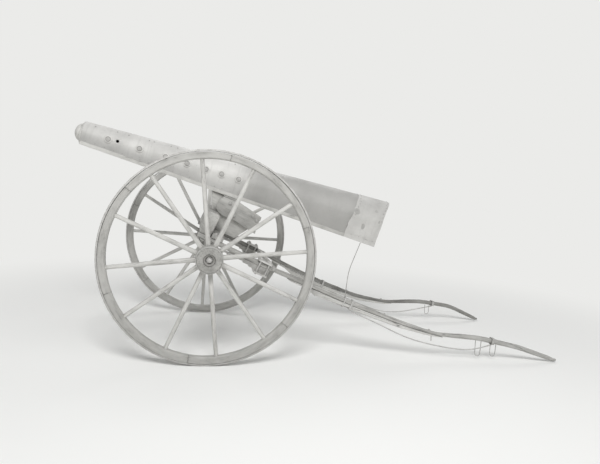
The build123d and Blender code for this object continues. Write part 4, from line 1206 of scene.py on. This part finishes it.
bolt_iron = worn_iron("bolt_iron", "#ACABA8", "#918F8B", "#C8C7C4", roughness=0.66, metallic=0.12)
bolts = []
forward, across = Vector((1, 0, 0)), Vector((0, 1, 0))
cheek_face, plank_top, bar_bolt_at, shaft_side, bolster_rear = 119.8, 144.8, 456, 497.6, -127.6
for side in (-1, 1):
    for number, (x, z) in enumerate(((328, 966), (356, 930), (150, 1052), (182, 960))):
        bolts += bolt_end(place(x, side * cheek_face, z), across * side, forward, 0.016, 0.0095, number * 1.3)
    for at in (-14, 26):
        bolts += bolt_end(on_bed(at, side * bed_shaft_spread, plank_top), bed_up, bed_along, 0.015, 0.009, at * 0.1)
    bolts += bolt_end(on_bed(bar_bolt_at, side * shaft_side, 94), across * side, bed_along, 0.014, 0.009, side)
    for x in (640, 905, 1290, 1640):
        centre, along, up = shaft_frame(side, x)
        bolts += bolt_end(centre + up * (0.0166 - planed(x) / 1000), up, along, 0.012, 0.0075, x * 0.1)
    for height in (150, 230):
        bolts += bolt_end(on_bed(bolster_rear, side * 66, height), -bed_along, across, 0.016, 0.0095, height)
shank_at, shank_radius = 1660, 0.0034
centre, along, up = shaft_frame(-1, shank_at)
hang = Vector((-0.06, 0, 1)).normalized()
shank = [(centre - hang * drop, across, hang.cross(across)) for drop in (0.026, 0.070, 0.072)]
bolts.append(swept("shank", shank, [ring(shank_radius * share, 12) for share in (1, 1, 0.7)]))
fit(joined("frame_bolts", bolts), bolt_iron, "cart", "dark_iron")


# The tube: painted sheet iron bent over a base board and end boards, nailed along its foot, with a second sheet
# round the wide end. It is dull and slightly buckled, dented near the wide end, and streaked below its fixings.
tube_along = Vector((cos(tube_slope), 0, -sin(tube_slope)))
tube_up = Vector((sin(tube_slope), 0, cos(tube_slope)))
foot_share, board_proud = 0.84, 3
trim_start, lap_start, base_length, wide_board_start, end_board_thickness = 2140, 2112, 2347, 2313, 28
lap_growth = 2.7


def tube_size(station):
    """Half height and half width of the tube, in millimetres, at a distance from its small end."""
    part = station / tube_length
    half_height = small_half_height + (large_half_height - small_half_height) * part
    return half_height, small_half_width + (large_half_width - small_half_width) * part


def tube_outline(station, growth, skirt=False, foot_height=42):
    """(across, up) points round the tube from foot to foot, in millimetres, from its near side over the crown.

    A skirt carries it down over the edge of the base board too.
    """
    side_steps, crown_steps = 6, 36
    half_height, half_width = tube_size(station)
    spring = half_height - half_width
    foot = foot_height - half_height
    part_down = (spring - foot) / (spring + half_height)
    foot_half = half_width * (1 - part_down * (1 - foot_share)) + growth
    wide = half_width + growth
    rising = []
    for number in range(side_steps):
        part = number / side_steps
        rising.append((foot_half + (wide - foot_half) * part, foot + (spring - foot) * part))
    points = [(-across, rise) for across, rise in rising]
    for number in range(crown_steps + 1):
        angle = pi - pi * number / crown_steps
        points.append((wide * cos(angle), spring + (half_height + growth - spring) * sin(angle)))
    points += rising[::-1]
    if skirt:
        edge = half_width * foot_share + board_proud + 0.1 + growth
        hem = [(edge, foot - 8), (edge, 1.2 - half_height)]
        points = [(-across, rise) for across, rise in hem[::-1]] + points + hem
    return points


def on_tube(station, across, rise):
    """Point in the frame from millimetres along the tube, across it and above its middle."""
    return place(tube_start_x, across, tube_start_z) + (tube_along * station + tube_up * rise) / 1000


def end_trim(station, rise):
    """How far the wide end runs past a square cut, in millimetres.

    It is cut back at the sides and curls out at the crown.
    """
    cut_back, curls_out, curls_from, crown = 21, 31, 55, 190
    near_end = within(0, (station - trim_start) / (tube_length - trim_start), 1)
    curl = within(0, (rise - curls_from) / (crown - curls_from), 1) ** 1.5
    return near_end**2 * (-cut_back + (curls_out + cut_back) * curl)


def sheet_iron(name, paint_hex, shade_hex, streak_hex, thin_from=1.2, thin_to=2.0, thin_share=0.0, foot_shade=1.0):
    """Sheet iron under old house paint: half matt, slightly buckled, streaked by weather, freckled with rust.

    The paint is washed thin and grey over a share of it, between two distances along. Just above the foot it is
    darkened as painted shade, most towards the small end, and nooks are darkened by ambient occlusion, painted shade
    that stands also for grime.
    """
    material = new_material(name)
    grain = add_node(material, "ShaderNodeAttribute", attribute_name="grain").outputs["Vector"]
    clouds = add_node(
        material, "ShaderNodeTexNoise", {"Vector": grain, "Scale": 5.0, "Detail": 5.0, "Roughness": 0.55}
    )
    streak_place = add_node(material, "ShaderNodeMapping", {"Vector": grain, "Scale": (1 / 0.022, 1 / 0.2, 1 / 0.2)})
    streaks = add_node(
        material, "ShaderNodeTexNoise", {"Vector": streak_place.outputs[0], "Scale": 1.0, "Detail": 4.0}
    )
    freckles = add_node(
        material, "ShaderNodeTexNoise", {"Vector": grain, "Scale": 120.0, "Detail": 3.0, "Roughness": 0.7}
    )
    tone = add_node(
        material, "ShaderNodeMix",
        {"Factor": add_node(
            material, "ShaderNodeMapRange", {"Value": clouds.outputs[0], "From Min": 0.35, "From Max": 0.68}
        ).outputs[0], 6: linear(paint_hex), 7: linear(shade_hex)},
        data_type="RGBA",
    )
    along = add_node(material, "ShaderNodeSeparateXYZ", {"Vector": grain})
    thinning = add_node(
        material, "ShaderNodeMapRange",
        {"Value": along.outputs["X"], "From Min": thin_from, "From Max": thin_to, "To Max": thin_share},
        interpolation_type="SMOOTHSTEP",
    )
    washed = add_node(
        material, "ShaderNodeMix", {"Factor": thinning.outputs[0], 6: tone.outputs[2], 7: linear(streak_hex)},
        data_type="RGBA"
    )
    run_down = add_node(
        material, "ShaderNodeMapRange",
        {"Value": streaks.outputs[0], "From Min": 0.55, "From Max": 0.78, "To Max": 0.2}
    )
    streaked = add_node(
        material, "ShaderNodeMix", {"Factor": run_down.outputs[0], 6: washed.outputs[2], 7: linear(streak_hex)},
        data_type="RGBA"
    )
    rusted = add_node(
        material, "ShaderNodeMapRange",
        {"Value": freckles.outputs[0], "From Min": 0.66, "From Max": 0.72, "To Max": 0.6}
    )
    spotted = add_node(
        material, "ShaderNodeMix", {"Factor": rusted.outputs[0], 6: streaked.outputs[2], 7: linear("#6B6967")},
        data_type="RGBA"
    )
    # Painted shade: the lower flank just above the foot is darkened, most near the small end and fading out by 1.9 m
    # along.
    taper = add_node(
        material, "ShaderNodeMath", {0: along.outputs["X"], 1: 0.0431, 2: 0.046}, operation="MULTIPLY_ADD"
    )
    above_foot = add_node(material, "ShaderNodeMath", {0: along.outputs["Z"], 1: taper.outputs[0]}, operation="ADD")
    foot_shade_fade = add_node(
        material, "ShaderNodeMapRange",
        {"Value": along.outputs["X"], "From Min": 0.5, "From Max": 1.9, "To Min": foot_shade, "To Max": 1.0}
    )
    foot_shaded = add_node(
        material, "ShaderNodeMapRange",
        {
            "Value": above_foot.outputs[0], "From Min": 0.0, "From Max": 0.075, "To Min": foot_shade_fade.outputs[0],
            "To Max": 1.0
        },
        interpolation_type="SMOOTHSTEP",
    )
    # Painted shade: ambient occlusion darkens the paint in corners and nooks, standing also for grime.
    nooks = add_node(material, "ShaderNodeAmbientOcclusion", {"Distance": 0.03}, samples=6)
    grime_and_nook_shade = add_node(
        material, "ShaderNodeMapRange",
        {"Value": nooks.outputs["AO"], "From Min": 0.2, "From Max": 0.8, "To Min": 0.86, "To Max": 1.0}
    )
    foot_and_nook_shade = add_node(material, "ShaderNodeMath", {0: foot_shaded.outputs[0], 1: grime_and_nook_shade.outputs[0]}, operation="MULTIPLY")
    colour = add_node(
        material, "ShaderNodeMix", {"Factor": 1.0, 6: spotted.outputs[2], 7: foot_and_nook_shade.outputs[0]}, data_type="RGBA",
        blend_type="MULTIPLY"
    )
    buckle = add_node(material, "ShaderNodeTexNoise", {"Vector": grain, "Scale": 9.0, "Detail": 2.0})
    wavy = add_node(material, "ShaderNodeBump", {"Height": buckle.outputs[0], "Strength": 0.5, "Distance": 0.006})
    relief = add_node(
        material, "ShaderNodeBump",
        {"Height": freckles.outputs[0], "Strength": 0.25, "Distance": 0.0006, "Normal": wavy.outputs[0]},
    )
    gloss = add_node(
        material, "ShaderNodeMapRange",
        {"Value": clouds.outputs[0], "From Min": 0.3, "From Max": 0.7, "To Min": 0.56, "To Max": 0.72}
    )
    surface = add_node(
        material,
        "ShaderNodeBsdfPrincipled",
        {
            "Base Color": colour.outputs[2], "Metallic": 0.1, "Roughness": gloss.outputs[0], "IOR": 1.5,
            "Normal": relief.outputs[0]
        },
    )
    add_node(material, "ShaderNodeOutputMaterial", {"Surface": surface.outputs[0]})
    return material


def sheet_round_tube(name, start, outer, inner, step, dents, crumple, crumple_size, skirt=False, foot_height=42):
    """Sheet bent over the tube between two growths of its outline, with dents as (along, turn, size, depth).

    It is crumpled inwards by up to an amount in millimetres, in creases of about the size given in metres.
    """
    stations, sections = [], []
    count = round((tube_length - start) / step)
    for number in range(count + 1):
        station = start + (tube_length - start) * number / count
        shape = []
        for growth, order in ((outer, 1), (inner, -1)):
            layer = tube_outline(station, growth, skirt, foot_height)
            for index, (across, rise) in list(enumerate(layer))[::order]:
                push = 0
                for along, turn, size, depth in dents:
                    away = hypot(station - along, (index / (len(layer) - 1) - turn) * 900) / size
                    if away < 1:
                        push += depth * (cos(away * pi) + 1) / 2
                fold = noise.noise(Vector((station / 1000, across / 1000, rise / 1000)) / crumple_size)
                push += crumple * (1 - abs(fold) * 2.2) ** 2 if abs(fold) < 0.45 else 0
                kept = 1 - push / hypot(across, rise)
                shape.append((across * kept / 1000, rise * kept / 1000))
        sections.append(shape)
        stations.append((on_tube(station, 0, 0), Vector((0, 1, 0)), tube_up))
    sheet = swept(name, stations, sections, sharp=35)
    for corner in sheet.data.vertices:
        from_end = (corner.co - on_tube(0, 0, 0)) * 1000
        corner.co += tube_along * end_trim(from_end.dot(tube_along), from_end.dot(tube_up)) / 1000
    return sheet


def lap_shift(rise):
    """How far the second sheet's edge lies from a square cut, in millimetres: back at the foot, forward on top."""
    foot_back, crown_forward, half_height = 33, 19, 180
    return -foot_back + (crown_forward + foot_back) * within(0, (rise + half_height) / (2 * half_height), 1) ** 2


# The skin's lower flank takes the most painted shade, darkened to 0.7 just above the foot near the small end.
tube_paint = sheet_iron(
    "tube_paint_on_iron", "#DCDBD8", "#C9C8C5", "#8F8E8B", thin_from=1.12, thin_to=1.36, thin_share=0.62, foot_shade=0.7
)
end_paint = sheet_iron("end_sheet_paint_on_iron", "#D0CFCC", "#B9B8B5", "#9F9E9B")
skin_dents = ((2180, 0.2, 60, 5), (2100, 0.12, 45, 4), (1700, 0.3, 120, 3))
skin = sheet_round_tube("tube_sheet_skin", 0, 0, -4, 16, skin_dents, 0.9, 0.16, foot_height=29)
peep_at, peep_radius = 258, 0.011
peep_ends = [(on_tube(peep_at, out, 13), tube_along, tube_up) for out in (-120, -60)]
peep = swept("peep_cut", peep_ends, [ring(peep_radius, 28)] * 2)
cut = skin.modifiers.new("peep", "BOOLEAN")
cut.object = peep
cut.operation = "DIFFERENCE"
cut.solver = "EXACT"
pierced = bpy.data.meshes.new_from_object(skin.evaluated_get(bpy.context.evaluated_depsgraph_get()))
skin.modifiers.clear()
skin.data = pierced
bpy.data.objects.remove(peep)
fit(skin, tube_paint, "cart", "tube_sheet", "tube_skin")
end_dents = ((2140, 0.2, 60, 5), (2086, 0.12, 30, 4), (2210, 0.1, 35, 4), (2290, 0.25, 40, 3), (2330, 0.16, 30, 4))
end_sheet = sheet_round_tube("tube_wide_end_sheet", lap_start, lap_growth, 0.2, 6, end_dents, 1.7, 0.045, skirt=True)
ragged_reach, ragged_depth = 0.1, 0.009
for corner in end_sheet.data.vertices:
    from_lap = corner.co - on_tube(lap_start, 0, 0)
    reach = from_lap.dot(tube_along)
    if reach < ragged_reach:
        shift = lap_shift(from_lap.dot(tube_up) * 1000) / 1000 + ragged_depth * noise.noise(corner.co * 22)
        corner.co += tube_along * (1 - reach / ragged_reach) * shift
fit(end_sheet, end_paint, "cart", "tube_sheet", "tube_end_sheet")

base_paint = old_paint(
    "base_board_paint_on_pine", "#D3D2CE", "#BAB9B5", "#9A9995", check_gap=0.014, bare_share=0.34, dull_share=0.3
)
stations, sections = [], []
base_steps = 79
for step in range(base_steps + 1):
    station = base_length * step / base_steps
    half_height, half_width = tube_size(station)
    stations.append((on_tube(station, 0, 21 - half_height), Vector((0, 1, 0)), tube_up))
    sections.append(rounded_box(2 * (half_width * foot_share + board_proud) / 1000, 0.0416, 0.003, 2))
board = swept("tube_foot_board", *sawn_ends(stations, sections), wear=0.0015, wear_size=0.05)
fit(board, base_paint, "cart", "tube_board", "tube_base_board")
for node, label, start in (
    ("tube_small_end", "small_end_board", 0), ("tube_large_end", "wide_end_board", wide_board_start)
):
    stations, sections = [], []
    for part, growth in ((0, -6.5), (0.08, -4.4), (0.92, -4.4), (1, -6.5)):
        station = start + end_board_thickness * part
        sections.append([(across / 1000, rise / 1000) for across, rise in tube_outline(station, growth)])
        stations.append((on_tube(station, 0, 0), Vector((0, 1, 0)), tube_up))
    board = swept(label, stations, sections, wear=0.001, seed=83, order=(1, 0, 2))
    fit(board, base_paint, "cart", "tube_board", node)


# The cap: a turned and domed plug of elm in the small end, its neck bound by a hoop, with a moulding where it
# meets the sheet. All of it is under the tube's pale paint.
cap_paint = old_paint("cap_paint_on_elm", "#D8D7D3", "#C0BFBB", "#B0AFAB", check_gap=0.011, bare_share=0.34)
dome = [(0, 62.6), (20, 62.6), (30, 62.4)]
for part in (0.15, 0.3, 0.45, 0.6, 0.72, 0.82, 0.9, 0.96, 0.99):
    dome.append((30 + 32.6 * part, sqrt(76.6**2 - (43.6 + 32.6 * part) ** 2)))
for label, node, slot, profile in (
    ("turned_cap", "tube_cap", "tube_board", dome),
    (
        "cap_neck_hoop", "tube_cap_hoop", "tube_sheet",
        ((0.3, 66.8), (1.5, 68.1), (18.5, 68.1), (19.8, 66.8), (19.9, 62.8))
    ),
    ("end_moulding", None, "tube_board", ((0.2, 85.4), (1.6, 86.2), (8, 82.5), (14, 76), (17, 71), (17.5, 68.2))),
):
    stations = [(on_tube(-out, 0, 0), Vector((0, 1, 0)), tube_up) for out, radius in profile]
    sections = [ring(radius / 1000, 64) for out, radius in profile]
    piece = swept(label, stations, sections, wear=0.0008, wear_size=0.03, seed=84, order=(1, 0, 2), sharp=30)
    fit(piece, cap_paint, "cart", slot, *([node] if node else []))


# The bosses: seven bolts through each side of the tube, each with a dished washer, a hexagon nut and a proud bolt end.
# They are painted with the sheet, and the paint has come off in a rusty ring round each nut.
boss_iron = sheet_iron("boss_paint_on_iron", "#E0DFDC", "#CFCECA", "#A5A4A1")
seat_iron = worn_iron("boss_seat_iron", "#AAA8A5", "#979592", "#BEBDBA", roughness=0.75, metallic=0.05)
boss_nut_iron = worn_iron("boss_nut_iron", "#B0AFAC", "#999794", "#C6C5C2", roughness=0.66, metallic=0.1)
washers, seats, nuts = [], [], []
for station in (191, 421, 615, 777, 921, 1042, 1175):
    half_height, half_width = tube_size(station)
    for side in (-1, 1):
        face = on_tube(station, side * half_width, 8)
        twist = noise.noise(Vector((station, side * 5, 1))) * 2
        for parts, profile, corners in (
            (washers, ((-4, 27), (3, 27), (5.2, 25.6), (6.4, 22.5), (5.8, 19.5), (5, 12)), 28),
            (seats, ((4, 20.6), (6.1, 20.4), (6.2, 17), (7, 14.6)), 28),
            (nuts, ((4, 14.2), (6.4, 15), (12.4, 15), (13.6, 13.4)), 6),
            (nuts, ((10, 6.5), (16, 6.5), (17.2, 5.2)), 12),
        ):
            stations = [(face + Vector((0, side * out / 1000, 0)), tube_along, tube_up) for out, radius in profile]
            sections = [ring(radius / 1000, corners, twist) for out, radius in profile]
            parts.append(swept("boss_part", stations, sections, sharp=32))
fit(joined("boss_washers", washers), boss_iron, "cart", "tube_sheet", "tube_bosses")
fit(joined("boss_seats", seats), seat_iron, "cart", "tube_sheet")
fit(joined("boss_nuts", nuts), boss_nut_iron, "cart", "tube_sheet")


# The nails: clout nails through the foot of the sheet into the base board, round the lap of the end sheet, and over
# the crown. Their heads are small, domed and rusty.
nail_iron = worn_iron("nail_head_iron", "#A19F9C", "#83817E", "#BDBCB9", roughness=0.7, metallic=0.1)


def nail_head(spot, out, radius, rise=0.0016):
    """Domed round head on a surface that faces out."""
    out = out.normalized()
    across = out.cross(tube_along).normalized()
    up = out.cross(across)
    profile = ((-0.001, 1), (rise * 0.35, 1), (rise * 0.8, 0.72), (rise, 0.3))
    stations = [(spot + out * lift, across, up) for lift, share in profile]
    return swept("nail", stations, [ring(radius * share, 10) for lift, share in profile], sharp=60)


def on_crown(station, side, part, growth=0):
    """Across and height of a point on the tube's rounded top, at a share of the half turn, and the way it faces."""
    half_height, half_width = tube_size(station)
    out, up = -side * cos(pi - pi * part), sin(pi - pi * part)
    radius = half_width + growth
    return radius * out, half_height - half_width + radius * up, Vector((0, out, 0)) + tube_up * up


crown_nails = (
    (78, 0.26), (234, 0.29), (318, 0.29), (468, 0.3), (504, 0.3), (630, 0.3), (678, 0.31), (860, 0.31), (1120, 0.3),
    (1500, 0.31), (1900, 0.3),
)
first_nail, last_nail, nail_gap, gap_change, lapped_from, lap_lift = 40, 2335, 62, 26, 2090, 2.4
heads = []
for side in (-1, 1):
    out = Vector((0, side, 0))
    station = first_nail
    while station < last_nail:
        foot, rise = tube_outline(station, 0, foot_height=38)[0]
        tuck = out * (abs(foot) + (lap_lift if station > lapped_from else 0)) / 1000
        jitter = noise.noise(Vector((station * 0.37, side * 9, 4)))
        heads.append(nail_head(on_tube(station, 0, rise + 4 * jitter) + tuck, out - tube_up * 0.15, 0.0036))
        station += nail_gap + gap_change * jitter
    for station, part in crown_nails:
        across, rise, out = on_crown(station, side, part)
        heads.append(nail_head(on_tube(station, across, rise), out, 0.0062, 0.002))
    for number in range(9):
        part = 0.02 + number * 0.056
        for station, in_from_lap in ((lap_start + 10, 14), (tube_length - 12, None)):
            level = on_crown(station, side, part)[1]
            shift = lap_shift(level) + in_from_lap if in_from_lap else end_trim(station, level)
            across, rise, out = on_crown(station, side, part, lap_growth)
            heads.append(nail_head(on_tube(station + 3 * sin(number * 2.2) + shift, across, rise), out, 0.0042))
fit(joined("tube_nail_heads", heads), nail_iron, "cart", "tube_sheet")


size = {"cad": [list(corner) for corner in cad_box], "visual": [list(corner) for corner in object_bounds()]}
